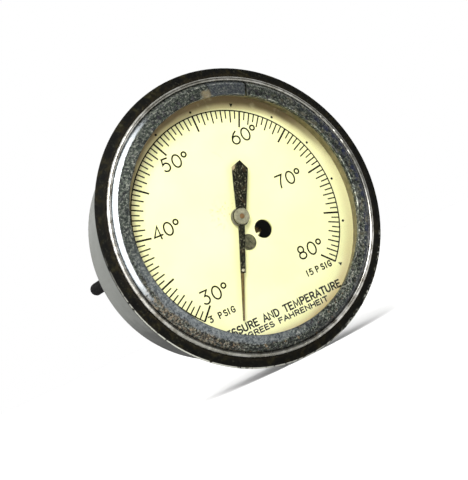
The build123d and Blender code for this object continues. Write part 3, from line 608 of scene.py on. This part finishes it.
def flange_paint(name):
    """Black paint gone brown in places and chipped at the lower right; the lower front edge is rubbed to bare
    metal, which also serves as a painted highlight there.
    """
    g = Graph(name)
    patches = g.noise(0.28, detail=4, rough=0.65, distortion=0.4, seed=6)
    grain = g.noise(1.5, detail=4, rough=0.7, seed=8)
    color = g.ramp(
        patches,
        [(0.35, (0.0012, 0.0012, 0.001)), (0.52, (0.002, 0.002, 0.0015)), (0.62, (0.006, 0.005, 0.002)),
         (0.74, (0.016, 0.016, 0.009))],
    )
    r = g.radius()
    beside_bead = g.times(g.window(r, *BESIDE_BEAD_BAND), g.window(grain, 0.35, 0.62))
    color = g.stain(color, beside_bead, 0.40, (0.014, 0.010, 0.005))
    dust = g.window(g.noise(1.1, detail=5, rough=0.8, seed=12), 0.56, 0.68)
    color = g.stain(color, dust, 0.35, (0.045, 0.045, 0.030))
    # Partly painted highlight: bare metal along the front edge round the lower part of the rim, where it
    # shows a highlight, broken up by noise.
    front_edge = g.times(g.window(r, *FLANGE_EDGE_BAND), g.window(g.axis("Y"), *FLANGE_FRONT_BAND))
    rubbed = g.times(front_edge, g.facing_clock(*FLANGE_RUBBED_AND_HIGHLIGHT))
    worn = g.times(rubbed, g.window(g.noise(0.6, detail=3, seed=13), 0.36, 0.50))
    chip_zone = g.times(g.window(r, *FLANGE_RIM_BAND), g.facing_clock(*FLANGE_CHIPPED))
    chips = g.times(chip_zone, g.window(g.noise(0.75, detail=3, rough=0.7, seed=14), 0.55, 0.60))
    bare = g.maths("MAXIMUM", worn, chips)
    color = g.mix(bare, color, (0.34, 0.34, 0.30))
    rough = g.plus(0.34, g.times(grain, 0.30))
    normal = g.bump(g.plus(grain, g.times(bare, -0.5)), 0.30, 0.08)
    return g.finish(color, rough, g.times(bare, 0.8), normal, Specular_IOR_Level=0.03)


def case_paint(name):
    g = Graph(name)
    cloud = g.noise(0.10, detail=3, rough=0.5, seed=1)
    grain = g.noise(2.2, detail=3, rough=0.6, seed=2)
    streaks = g.noise(0.5, detail=3, rough=0.6, seed=3, stretch=(1, 0.06, 1))
    color = g.ramp(cloud, [(0.3, (0.092, 0.095, 0.088)), (0.7, (0.111, 0.114, 0.106))])
    color = g.mix(g.times(g.window(streaks, 0.52, 0.72), 0.22), color, (0.085, 0.087, 0.075))
    # Painted shade: the side wall is darkened almost to black towards the bottom, with ragged edges, but the
    # back is not.
    height = g.plus(g.axis("Z"), g.times(g.noise(0.16, detail=4, rough=0.65, seed=7), 14.0))
    painted_shade = g.times(g.window(height, *UNDERSIDE_SHADE_BAND), g.window(g.radius(), *CASE_SIDE_BAND))
    color = g.stain(color, painted_shade, 0.93, (0.008, 0.008, 0.007))
    spots = g.window(g.noise(0.7, detail=4, rough=0.8, seed=5), 0.68, 0.76)
    color = g.stain(color, spots, 0.6, (0.05, 0.042, 0.03))
    rough = g.plus(0.38, g.times(grain, 0.16))
    return g.finish(color, rough, 0.0, g.bump(grain, 0.12, 0.05), Specular_IOR_Level=0.05)


def dial_enamel(name):
    """Cream paint with faint specks and stains, and a painted shadow of the ring that turns it brown towards
    its edge.
    """
    g = Graph(name)
    cloud = g.noise(0.06, detail=3, rough=0.5, seed=2)
    grain = g.noise(3.0, detail=2, rough=0.5, seed=3)
    color = g.ramp(cloud, [(0.35, (0.84, 0.82, 0.455)), (0.65, (0.88, 0.86, 0.505))])
    r = g.radius()
    uneven = g.plus(r, g.times(g.noise(0.14, detail=3, seed=4), 1.2))
    # Painted shadow of the ring: tan round the margin, fading out on the right.
    margin_shadow = g.times(g.window(uneven, *DIAL_MARGIN_SHADOW_BAND), g.window(g.axis("X"), *DIAL_LEFT_BAND))
    color = g.stain(color, margin_shadow, 0.85, (0.56, 0.42, 0.22))
    # The painted shadow at the margin is wider on the left than on the right.
    shifted = g.minus(uneven, g.times(g.axis("X"), SHADOW_LEAN))
    # Painted shadow: tan just inside the margin and dark brown next to the ring, both strongest towards the
    # top left.
    top_shadow = g.times(g.window(shifted, *DIAL_TOP_SHADOW_BAND), g.facing_clock(*DIAL_TOP_SHADOW))
    color = g.stain(color, top_shadow, 0.75, (0.46, 0.36, 0.19))
    rim_shadow = g.times(g.window(shifted, *DIAL_RIM_SHADOW_BAND), g.window(g.facing_clock(*DIAL_RIM_SHADOW), 0.0, 0.5))
    color = g.stain(color, rim_shadow, 0.96, (0.17, 0.115, 0.055))
    specks = g.window(g.noise(0.55, detail=4, rough=0.75, seed=6), 0.69, 0.77)
    color = g.stain(color, specks, 0.30, (0.62, 0.52, 0.30))
    near_hub = g.window(g.radius(RUST_AT), *NEAR_HUB_BAND)
    rust = g.times(near_hub, g.window(g.noise(1.3, detail=4, rough=0.7, seed=21), 0.54, 0.64))
    color = g.stain(color, rust, 0.7, (0.50, 0.31, 0.15))
    pale = g.window(g.noise(0.25, detail=2, seed=8), 0.62, 0.75)
    color = g.stain(color, pale, 0.20, (0.90, 0.82, 0.52))
    rough = g.plus(0.50, g.times(grain, 0.15))
    return g.finish(color, rough, 0.0, g.bump(grain, 0.05, 0.02))


def dial_ink(name):
    g = Graph(name)
    thin = g.noise(1.1, detail=3, rough=0.7, seed=5)
    color = g.mix(g.window(thin, 0.55, 0.80), (0.006, 0.005, 0.003), (0.09, 0.08, 0.03))
    rough = g.plus(0.5, g.times(thin, 0.2))
    return g.finish(color, rough, 0.0, Specular_IOR_Level=0.1)


def dial_stain(name):
    g = Graph(name)
    thin = g.noise(0.9, detail=3, rough=0.7, seed=2)
    color = g.mix(thin, (0.62, 0.52, 0.30), (0.85, 0.78, 0.50))
    return g.finish(color, 0.6, 0.0)


def pointer_black(name):
    """Flat black with greenish and brown specks; one corner of the tail is rubbed to bare metal."""
    g = Graph(name)
    fine = g.noise(1.5, detail=4, rough=0.75, seed=2)
    color = g.ramp(
        fine,
        [(0.42, (0.002, 0.002, 0.001)), (0.52, (0.005, 0.005, 0.003)), (0.58, (0.035, 0.036, 0.020)),
         (0.66, (0.30, 0.28, 0.20))],
    )
    brown = g.window(g.noise(0.5, detail=3, seed=6), 0.55, 0.68)
    color = g.stain(color, brown, 0.4, (0.05, 0.028, 0.012))
    corner = rubbed_corner(g)
    color = g.mix(corner, color, (0.42, 0.34, 0.22))
    rough = g.plus(0.38, g.times(fine, 0.25))
    return g.finish(color, rough, g.times(corner, 0.5), g.bump(fine, 0.25, 0.05), Specular_IOR_Level=0.06)


def rubbed_corner(g):
    """A patch at the tail's corner that lies towards 12 o'clock on the reader's left."""
    away = g.plus(g.radius(TAIL_CORNER), g.times(g.noise(0.9, detail=3, seed=9), 1.6))
    return g.window(away, *RUBBED_BAND)


def tarnished(name, dark, light, rough, metallic=1.0, scale=0.8, spots=None, specular=0.5):
    """Plain old metal: two tones of one colour, with fine grain and darker spots."""
    g = Graph(name)
    tone = g.noise(scale, detail=4, rough=0.65, seed=1)
    grain = g.noise(scale * 5, detail=3, rough=0.6, seed=2)
    color = g.ramp(tone, [(0.32, dark), (0.68, light)])
    if spots:
        spotted = g.window(g.noise(scale * 2.2, detail=4, rough=0.75, seed=3), 0.60, 0.70)
        color = g.stain(color, spotted, 0.7, spots)
    roughness = g.plus(rough, g.times(grain, 0.18))
    return g.finish(color, roughness, metallic, g.bump(grain, 0.18, 0.04), Specular_IOR_Level=specular)


def brushed(name, dark, light, rough, direction=(0.12, 1, 1)):
    """Metal with fine parallel tool marks."""
    g = Graph(name)
    marks = g.noise(2.4, detail=3, rough=0.7, seed=4, stretch=direction)
    tone = g.noise(0.3, detail=3, rough=0.5, seed=5)
    color = g.mix(tone, dark, light)
    color = g.mix(g.times(g.window(marks, 0.45, 0.75), 0.35), color, dark)
    roughness = g.plus(rough, g.times(marks, 0.22))
    return g.finish(color, roughness, 1.0, g.bump(marks, 0.22, 0.03))


def turned_metal(name, dark, light, rough, centre=None):
    """Metal with rings left by turning, about the gauge axis or about (x, z)."""
    g = Graph(name)
    wobble = g.noise(0.6, detail=3, rough=0.6, seed=6)
    rings = g.maths("SINE", g.plus(g.times(g.radius(centre), TURNING_MARKS), wobble))
    color = g.mix(g.plus(0.5, g.times(rings, 0.16)), dark, light)
    color = g.mix(g.times(g.window(wobble, 0.5, 0.75), 0.4), color, dark)
    roughness = g.plus(rough, g.times(wobble, 0.2))
    return g.finish(color, roughness, 1.0, g.bump(rings, 0.12, 0.01))


def rubber(name):
    g = Graph(name)
    grain = g.noise(3.0, detail=3, rough=0.6, seed=1)
    color = g.ramp(grain, [(0.3, (0.010, 0.010, 0.010)), (0.7, (0.035, 0.034, 0.032))])
    return g.finish(color, g.plus(0.7, g.times(grain, 0.2)), 0.0, g.bump(grain, 0.3, 0.05))


def window_glass(name):
    """Clear pane: see-through, with a mirror's share that rises at a slant and faint dust."""
    g = Graph(name)
    clear = g.tree.nodes.new("ShaderNodeBsdfTransparent")
    clear.inputs["Color"].default_value = (0.995, 1.0, 0.985, 1)
    shine = g.tree.nodes.new("ShaderNodeBsdfPrincipled")
    dust = g.noise(0.9, detail=5, rough=0.8, seed=3)
    g.put(shine.inputs["Base Color"], g.ramp(dust, [(0.4, (0.75, 0.78, 0.74)), (0.7, (0.95, 0.94, 0.88))]))
    g.put(shine.inputs["Roughness"], g.plus(0.02, g.times(g.window(dust, 0.5, 0.8), 0.15)))
    shine.inputs["Metallic"].default_value = 1.0
    fresnel = g.tree.nodes.new("ShaderNodeFresnel")
    fresnel.inputs["IOR"].default_value = 1.35
    share = g.plus(fresnel.outputs[0], g.times(g.window(dust, 0.66, 0.8), 0.02))
    mixer = g.tree.nodes.new("ShaderNodeMixShader")
    output = g.tree.nodes.new("ShaderNodeOutputMaterial")
    g.link(share, mixer.inputs["Fac"])
    g.link(clear.outputs[0], mixer.inputs[1])
    g.link(shine.outputs[0], mixer.inputs[2])
    g.link(mixer.outputs[0], output.inputs["Surface"])
    return g.material


def floor_paper(name):
    g = Graph(name)
    fibre = g.noise(0.4, detail=4, rough=0.6, seed=1)
    color = g.ramp(fibre, [(0.3, (0.66, 0.66, 0.655)), (0.7, (0.70, 0.70, 0.695))])
    return g.finish(color, 0.9, 0.0, g.bump(fibre, 0.03, 0.05))


# ---------------------------------------------------------------- CAD nodes' materials

def pointer_point(x, z):
    """A point of the pointer as drawn at 12 o'clock, turned to its rest angle."""
    turn = radians(REST_CLOCK)
    return x * cos(turn) + z * sin(turn), -x * sin(turn) + z * cos(turn)


TAIL_CORNER = pointer_point(*TAIL_SHOULDER)

LOOKS = {
    "case_shell": case_paint("case_paint"),
    "front_flange": flange_paint("flange_black"),
    "trim_ring": trim_metal("trim_metal"),
    "retaining_ring": ring_chrome("ring_chrome"),
    "ring_key": ring_chrome("key_chrome", key=True),
    "window_glass": window_glass("window_glass"),
    "window_gasket": rubber("gasket_rubber"),
    "spacer_ring": tarnished("spacer_bronze", (0.13, 0.11, 0.055), (0.30, 0.25, 0.15), 0.45, 0.2, 0.4),
    "dial_support_ring": brushed("support_steel", STEEL_DARK, STEEL_LIGHT, 0.35),
    "mounting_studs": tarnished(
        "stud_black", (0.001, 0.001, 0.001), (0.006, 0.006, 0.006), 0.40, 0.0, 1.2, specular=0.05
    ),
    "dial_plate": dial_enamel("dial_enamel"),
    "dial_screw": tarnished(
        "dial_screw_steel", (0.03, 0.03, 0.018), (0.19, 0.18, 0.11), 0.42, 0.6, 1.0, (0.010, 0.010, 0.006)
    ),
    "dial_post": turned_metal("post_brass", BRASS_DARK, BRASS_LIGHT, 0.3, DIAL_POST_AT),
    "movement_front_plate": brushed("front_plate_brass", BRASS_DARK, BRASS_LIGHT, 0.28),
    "movement_back_plate": brushed("back_plate_brass", BRASS_DARK, BRASS_LIGHT, 0.28),
    "movement_pillars": turned_metal("pillar_brass", BRASS_DARK, BRASS_LIGHT, 0.26),
    "pillar_screws": turned_metal("pillar_screw_steel", STEEL_DARK, STEEL_LIGHT, 0.28),
    "movement_screws": turned_metal("movement_screw_steel", STEEL_DARK, STEEL_LIGHT, 0.28),
    "sector_stop_pins": turned_metal("stop_pin_brass", BRASS_DARK, BRASS_LIGHT, 0.3),
    "socket_block": tarnished(
        "socket_brass", (0.30, 0.21, 0.09), (0.60, 0.45, 0.21), 0.30, 1.0, 0.25, (0.14, 0.09, 0.04)
    ),
    "socket_screws": tarnished("socket_screw_steel", (0.16, 0.16, 0.15), (0.42, 0.42, 0.39), 0.34, 1.0, 0.9),
    "bourdon_tube": brushed("tube_bronze", BRONZE_DARK, BRONZE_LIGHT, 0.24, (1, 0.12, 1)),
    "hairspring": tarnished("hairspring_bronze", BRONZE_DARK, BRONZE_LIGHT, 0.20, 1.0, 2.0),
    "hairspring_stud": turned_metal("hairspring_stud_brass", BRASS_DARK, BRASS_LIGHT, 0.3),
    "sector_gear": brushed("sector_brass", BRASS_DARK, BRASS_LIGHT, 0.25, (1, 1, 0.12)),
    "sector_arbor": turned_metal("sector_arbor_steel", STEEL_DARK, STEEL_LIGHT, 0.25, SECTOR_AT),
    "tail_pivot_screw": turned_metal("tail_screw_steel", STEEL_DARK, STEEL_LIGHT, 0.28, TAIL_PIVOT_AT),
    "link": brushed("link_brass", BRASS_DARK, BRASS_LIGHT, 0.27, (0.2, 1, 1)),
    "tube_tip": tarnished("tip_brass", BRASS_DARK, BRASS_LIGHT, 0.28, 1.0, 0.5),
    "tip_pivot_screw": turned_metal("tip_screw_steel", STEEL_DARK, STEEL_LIGHT, 0.28, TIP_PIVOT_AT),
    "pinion_arbor": turned_metal("pinion_steel", (0.16, 0.08, 0.035), (0.42, 0.25, 0.13), 0.36),
    "hairspring_collet": turned_metal("collet_brass", BRASS_DARK, BRASS_LIGHT, 0.28),
    "pointer_hub": tarnished(
        "hub_metal", (0.15, 0.14, 0.10), (0.34, 0.32, 0.24), 0.42, 0.4, 0.9, (0.07, 0.06, 0.04)
    ),
    "pointer_blade": pointer_black("pointer_black"),
    "pointer_needle": tarnished("needle_bronze", (0.060, 0.036, 0.010), (0.20, 0.13, 0.045), 0.40, 0.5, 1.2),
    "pointer_rivet": tarnished("rivet_brass", (0.55, 0.48, 0.34), (0.90, 0.86, 0.70), 0.18, 0.9, 2.0),
}


def dress(obj, material):
    obj.data.materials.clear()
    obj.data.materials.append(material)


for node, material in LOOKS.items():
    dress(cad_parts[node], material)


# ---------------------------------------------------------------- dial print

def tick(ink, clock, length, width):
    a = clock_point(SCALE_R, clock)
    b = clock_point(SCALE_R - length, clock)
    side = (cos(radians(clock)) * width / 2, -sin(radians(clock)) * width / 2)
    ink.polygon(
        [(a[0] - side[0], a[1] - side[1]), (a[0] + side[0], a[1] + side[1]),
         (b[0] + side[0], b[1] + side[1]), (b[0] - side[0], b[1] - side[1])]
    )


def draw_scale():
    ink = Print()
    sweep = [FIRST_CLOCK + SCALE_SWEEP * i / SCALE_STEPS for i in range(SCALE_STEPS + 1)]
    ink.stroke([clock_point(SCALE_R, c) for c in sweep], SCALE_LINE)
    for i in range(HALF_DEGREES + 1):
        clock = FIRST_CLOCK + SCALE_SWEEP * i / HALF_DEGREES
        if i % 10 == 0:
            tick(ink, clock, *LONG_TICK)
        elif i % 2 == 0:
            tick(ink, clock, *MEDIUM_TICK)
        else:
            tick(ink, clock, *SHORT_TICK)
    for psi in range(PSI_FIRST, PSI_LAST + 1):
        clock = FIRST_CLOCK + SCALE_SWEEP * (psi - PSI_FIRST) / (PSI_LAST - PSI_FIRST)
        if psi % 5 == 0:
            tip_r, base_r, half_width = PSI_MARK
            tip = clock_point(tip_r, clock)
            base = clock_point(base_r, clock)
            side = (cos(radians(clock)) * half_width, -sin(radians(clock)) * half_width)
            ink.polygon([tip, (base[0] + side[0], base[1] + side[1]), (base[0] - side[0], base[1] - side[1])])
        else:
            x, z = clock_point(PSI_DOT_R, clock)
            ink.polygon(arc(x, z, PSI_DOT_SIZE, PSI_DOT_SIZE, 0, 345, 15))
    return ink


def draw_numbers():
    ink = Print()
    for tens, (x, z) in NUMBERS_AT.items():
        draw_glyph(ink, tens, x, z, NUMBER_HALF_HEIGHT, NUMBER_LINE)
        draw_glyph(ink, "0", x + TENS_STEP, z, NUMBER_HALF_HEIGHT, NUMBER_LINE)
        centre = (x + TENS_STEP + RING_STEP, z + RING_RISE)
        ink.stroke(arc(*centre, RING_R, RING_R, 0, 342, 19), NUMBER_LINE, closed=True)
    return ink


def draw_words():
    ink = Print()
    for z, label in END_LABELS:
        for x, glyph in label:
            draw_glyph(ink, glyph, x, z, *END_LABEL_SIZE)
    for line in WORDS:
        draw_line(ink, *line)
    return ink


INK = dial_ink("dial_ink")
PRINTS = [
    draw_scale().build("dial_scale", INK),
    draw_numbers().build("dial_numbers", INK),
    draw_words().build("dial_words", INK),
]

scratch = Print()
scratch.stroke(SCRATCH, SCRATCH_WIDTH)
scratch.build("dial_scratch", dial_stain("dial_stain"))


# ---------------------------------------------------------------- threads, seal and tube

def thread(centre, start_y, end_y, major_r, pitch, depth, tip_round, lead_in, bore_r=0.0):
    """A screwed rod along Y: rows of points whose radius follows the helix.

    Its ends are closed, or with a bore the far end is a ring and the near end is left open.
    """
    around, per_pitch = THREAD_STEPS
    rows = round((end_y - start_y) / pitch * per_pitch)
    verts = []
    for j in range(rows + 1):
        y = start_y + (end_y - start_y) * j / rows
        limit = major_r
        from_end = end_y - y
        if from_end < tip_round:
            limit = major_r - tip_round + (tip_round ** 2 - (tip_round - from_end) ** 2) ** 0.5
        fade = min(1.0, max(0.0, (y - start_y) / lead_in))
        for i in range(around):
            phase = (y / pitch - i / around) % 1.0
            groove = depth * (1 - abs(2 * phase - 1)) * fade
            radius = max(min(limit, major_r - groove), 0.05)
            angle = tau * i / around
            verts.append((centre[0] + radius * cos(angle), y, centre[1] + radius * sin(angle)))
    faces = []
    for j in range(rows):
        for i in range(around):
            a = j * around + i
            b = j * around + (i + 1) % around
            faces.append([a, b, b + around, a + around])
    last = rows * around
    if bore_r:
        for i in range(around):
            angle = tau * i / around
            verts.append((centre[0] + bore_r * cos(angle), end_y, centre[1] + bore_r * sin(angle)))
        inner = last + around
        for i in range(around):
            j = (i + 1) % around
            faces.append([last + i, last + j, inner + j, inner + i])
        return verts, faces
    faces.append(list(range(around))[::-1])
    faces.append([last + i for i in range(around)])
    return verts, faces


def disc(centre, radius, front_y, back_y):
    """A closed short cylinder along Y."""
    around = THREAD_STEPS[0]
    verts = []
    for y in (front_y, back_y):
        verts += [
            (centre[0] + radius * cos(tau * i / around), y, centre[1] + radius * sin(tau * i / around))
            for i in range(around)
        ]
    faces = [[i, (i + 1) % around, around + (i + 1) % around, around + i] for i in range(around)]
    faces.append(list(range(around))[::-1])
    faces.append(list(range(around, 2 * around)))
    return verts, faces


def fix_normals(obj):
    mesh = bmesh.new()
    mesh.from_mesh(obj.data)
    bmesh.ops.recalc_face_normals(mesh, faces=mesh.faces)
    mesh.to_mesh(obj.data)
    mesh.free()


def make_studs():
    verts = []
    faces = []
    end_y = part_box("mounting_studs")[1].y / MM
    for x in STUD_AT:
        solids = [
            disc((x, 0), *STUD_HEAD),
            disc((x, 0), *STUD_NECK),
            thread((x, 0), STUD_NECK[2], end_y, STUD_THREAD_R, STUD_PITCH, *STUD_THREAD),
        ]
        for part_verts, part_faces in solids:
            start = len(verts)
            verts += part_verts
            faces += [[start + i for i in face] for face in part_faces]
    obj = make_object("threaded_studs", verts, faces)
    fix_normals(obj)
    dress(obj, LOOKS["mounting_studs"])
    obj.data.polygons.foreach_set("use_smooth", [len(p.vertices) == 4 for p in obj.data.polygons])
    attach(obj, "case")
    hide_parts("mounting_studs")


make_studs()


def make_threaded_socket():
    """The socket block with its plain stem taken off and a pipe thread put on."""
    end_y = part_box("socket_block")[1].y / MM
    mesh = bmesh.new()
    mesh.from_mesh(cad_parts["socket_block"].data)
    bmesh.ops.remove_doubles(mesh, verts=mesh.verts, dist=TOUCHING * MM)
    at_hexagon = (STEM_START_Y - STEM_SLACK) * MM
    past_hexagon = (STEM_START_Y + STEM_SLACK) * MM
    past_bore = (STEM_BORE_R + BORE_SLACK) * MM
    stem = [
        face for face in mesh.faces
        if all(v.co.y > at_hexagon for v in face.verts)
        and any(v.co.y > past_hexagon for v in face.verts)
        and any(hypot(v.co.x, v.co.z) > past_bore for v in face.verts)
    ]
    bmesh.ops.delete(mesh, geom=stem, context="FACES")
    verts, faces = thread((0, 0), STEM_START_Y, end_y, STEM_R, STEM_PITCH, *STEM_THREAD, bore_r=STEM_BORE_R)
    made = [mesh.verts.new([c * MM for c in v]) for v in verts]
    for face in faces:
        mesh.faces.new([made[i] for i in face])
    for seam_y in (STEM_START_Y, end_y):
        seam = [
            edge for edge in mesh.edges
            if edge.is_boundary and all(abs(v.co.y - seam_y * MM) < TOUCHING * MM for v in edge.verts)
        ]
        bmesh.ops.bridge_loops(mesh, edges=seam)
    for face in mesh.faces:
        face.smooth = True
    for edge in mesh.edges:
        edge.smooth = edge.is_manifold and edge.calc_face_angle() < SHARP_ANGLE
    data = bpy.data.meshes.new("threaded_socket")
    mesh.to_mesh(data)
    mesh.free()
    obj = add_object("threaded_socket", data)
    dress(obj, LOOKS["socket_block"])
    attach(obj, "case")
    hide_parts("socket_block")


make_threaded_socket()


def make_stem_seal():
    """The rubber ring that fills the gap round the socket's neck in the case back."""
    back_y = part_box("case_shell")[1].y / MM
    around = SEAL_STEPS
    section = [(SEAL_INNER_R, SEAL_INSET[0]), (SEAL_OUTER_R, SEAL_INSET[0]),
               (SEAL_OUTER_R, SEAL_INSET[1]), (SEAL_INNER_R, SEAL_INSET[1])]
    verts = [
        (radius * cos(tau * i / around), back_y - inset, radius * sin(tau * i / around))
        for i in range(around) for radius, inset in section
    ]
    faces = []
    for i in range(around):
        this = 4 * i
        following = 4 * ((i + 1) % around)
        for k in range(4):
            after = (k + 1) % 4
            faces.append([this + k, this + after, following + after, following + k])
    obj = make_object("stem_seal", verts, faces)
    fix_normals(obj)
    dress(obj, LOOKS["window_gasket"])
    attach(obj, "case")


make_stem_seal()


def make_flexing_tube():
    """The Bourdon tube's mesh, copied into the model frame in place of the imported one; it keeps its rest
    shape here.
    """
    obj = add_object("flexing_tube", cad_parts["bourdon_tube"].data.copy())
    dress(obj, LOOKS["bourdon_tube"])
    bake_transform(obj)
    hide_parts("bourdon_tube")


make_flexing_tube()


# ---------------------------------------------------------------- floor, lights, camera

floor = make_object(
    "floor",
    [(-FLOOR_HALF, -FLOOR_HALF, FLOOR_Z), (FLOOR_HALF, -FLOOR_HALF, FLOOR_Z),
     (FLOOR_HALF, FLOOR_HALF, FLOOR_Z), (-FLOOR_HALF, FLOOR_HALF, FLOOR_Z)],
    [[0, 1, 2, 3]],
)
dress(floor, floor_paper("floor_paper"))


def area_light(name, at, size, power):
    """A soft rectangle of light that faces the gauge."""
    data = bpy.data.lights.new(name, "AREA")
    data.shape = "RECTANGLE"
    data.size = size[0] * MM
    data.size_y = size[1] * MM
    data.energy = power
    obj = add_object(name, data)
    obj.location = Vector(at) * MM
    obj.rotation_euler = (-obj.location).to_track_quat("-Z", "Y").to_euler()


for light in LIGHTS:
    area_light(*light)


def make_world():
    """White seen directly; for light and reflections, brightest overhead and dim in front of the dial."""
    world = bpy.data.worlds.new("studio")
    SCENE.world = world
    world.use_nodes = True
    tree = world.node_tree
    tree.nodes.clear()

    def put(kind, **inputs):
        node = tree.nodes.new(kind)
        for name, value in inputs.items():
            node.inputs[name.replace("_", " ")].default_value = value
        return node

    coords = put("ShaderNodeTexCoord")
    split = put("ShaderNodeSeparateXYZ")
    height = put("ShaderNodeMapRange", From_Min=SKY_RISE[0], From_Max=SKY_RISE[1],
                 To_Min=HORIZON_STRENGTH, To_Max=ZENITH_STRENGTH)
    height.interpolation_type = "SMOOTHSTEP"
    facing = put("ShaderNodeVectorMath")
    facing.operation = "DOT_PRODUCT"
    facing.inputs[1].default_value = FRONT
    dim = put("ShaderNodeMapRange", From_Min=FRONT_SPREAD[0], From_Max=FRONT_SPREAD[1],
              To_Min=1.0, To_Max=1.0 - FRONT_DIM)
    dim.interpolation_type = "SMOOTHSTEP"
    product = put("ShaderNodeMath")
    product.operation = "MULTIPLY"
    path = put("ShaderNodeLightPath")
    seen = put("ShaderNodeMix", B=1.0)
    seen.data_type = "FLOAT"
    background = put("ShaderNodeBackground", Color=(1, 1, 1, 1))
    output = put("ShaderNodeOutputWorld")
    link = tree.links.new
    link(coords.outputs["Generated"], split.inputs[0])
    link(coords.outputs["Generated"], facing.inputs[0])
    link(split.outputs["Z"], height.inputs["Value"])
    link(facing.outputs["Value"], dim.inputs["Value"])
    link(height.outputs["Result"], product.inputs[0])
    link(dim.outputs["Result"], product.inputs[1])
    link(path.outputs["Is Camera Ray"], seen.inputs["Factor"])
    link(product.outputs[0], seen.inputs["A"])
    link(seen.outputs["Result"], background.inputs["Strength"])
    link(background.outputs[0], output.inputs["Surface"])


make_world()

camera_data = bpy.data.cameras.new("camera")
camera_data.lens = CAMERA_LENS
camera_data.sensor_width = SENSOR_WIDTH
camera_data.clip_start, camera_data.clip_end = CAMERA_CLIP
camera = add_object("camera", camera_data)
camera.matrix_world = Matrix((
    (CAMERA_RIGHT.x, CAMERA_UP.x, CAMERA_BACK.x, CAMERA_AT.x),
    (CAMERA_RIGHT.y, CAMERA_UP.y, CAMERA_BACK.y, CAMERA_AT.y),
    (CAMERA_RIGHT.z, CAMERA_UP.z, CAMERA_BACK.z, CAMERA_AT.z),
    (0, 0, 0, 1),
))
bpy.context.scene.camera = camera
SCENE.view_settings.view_transform = "Standard"
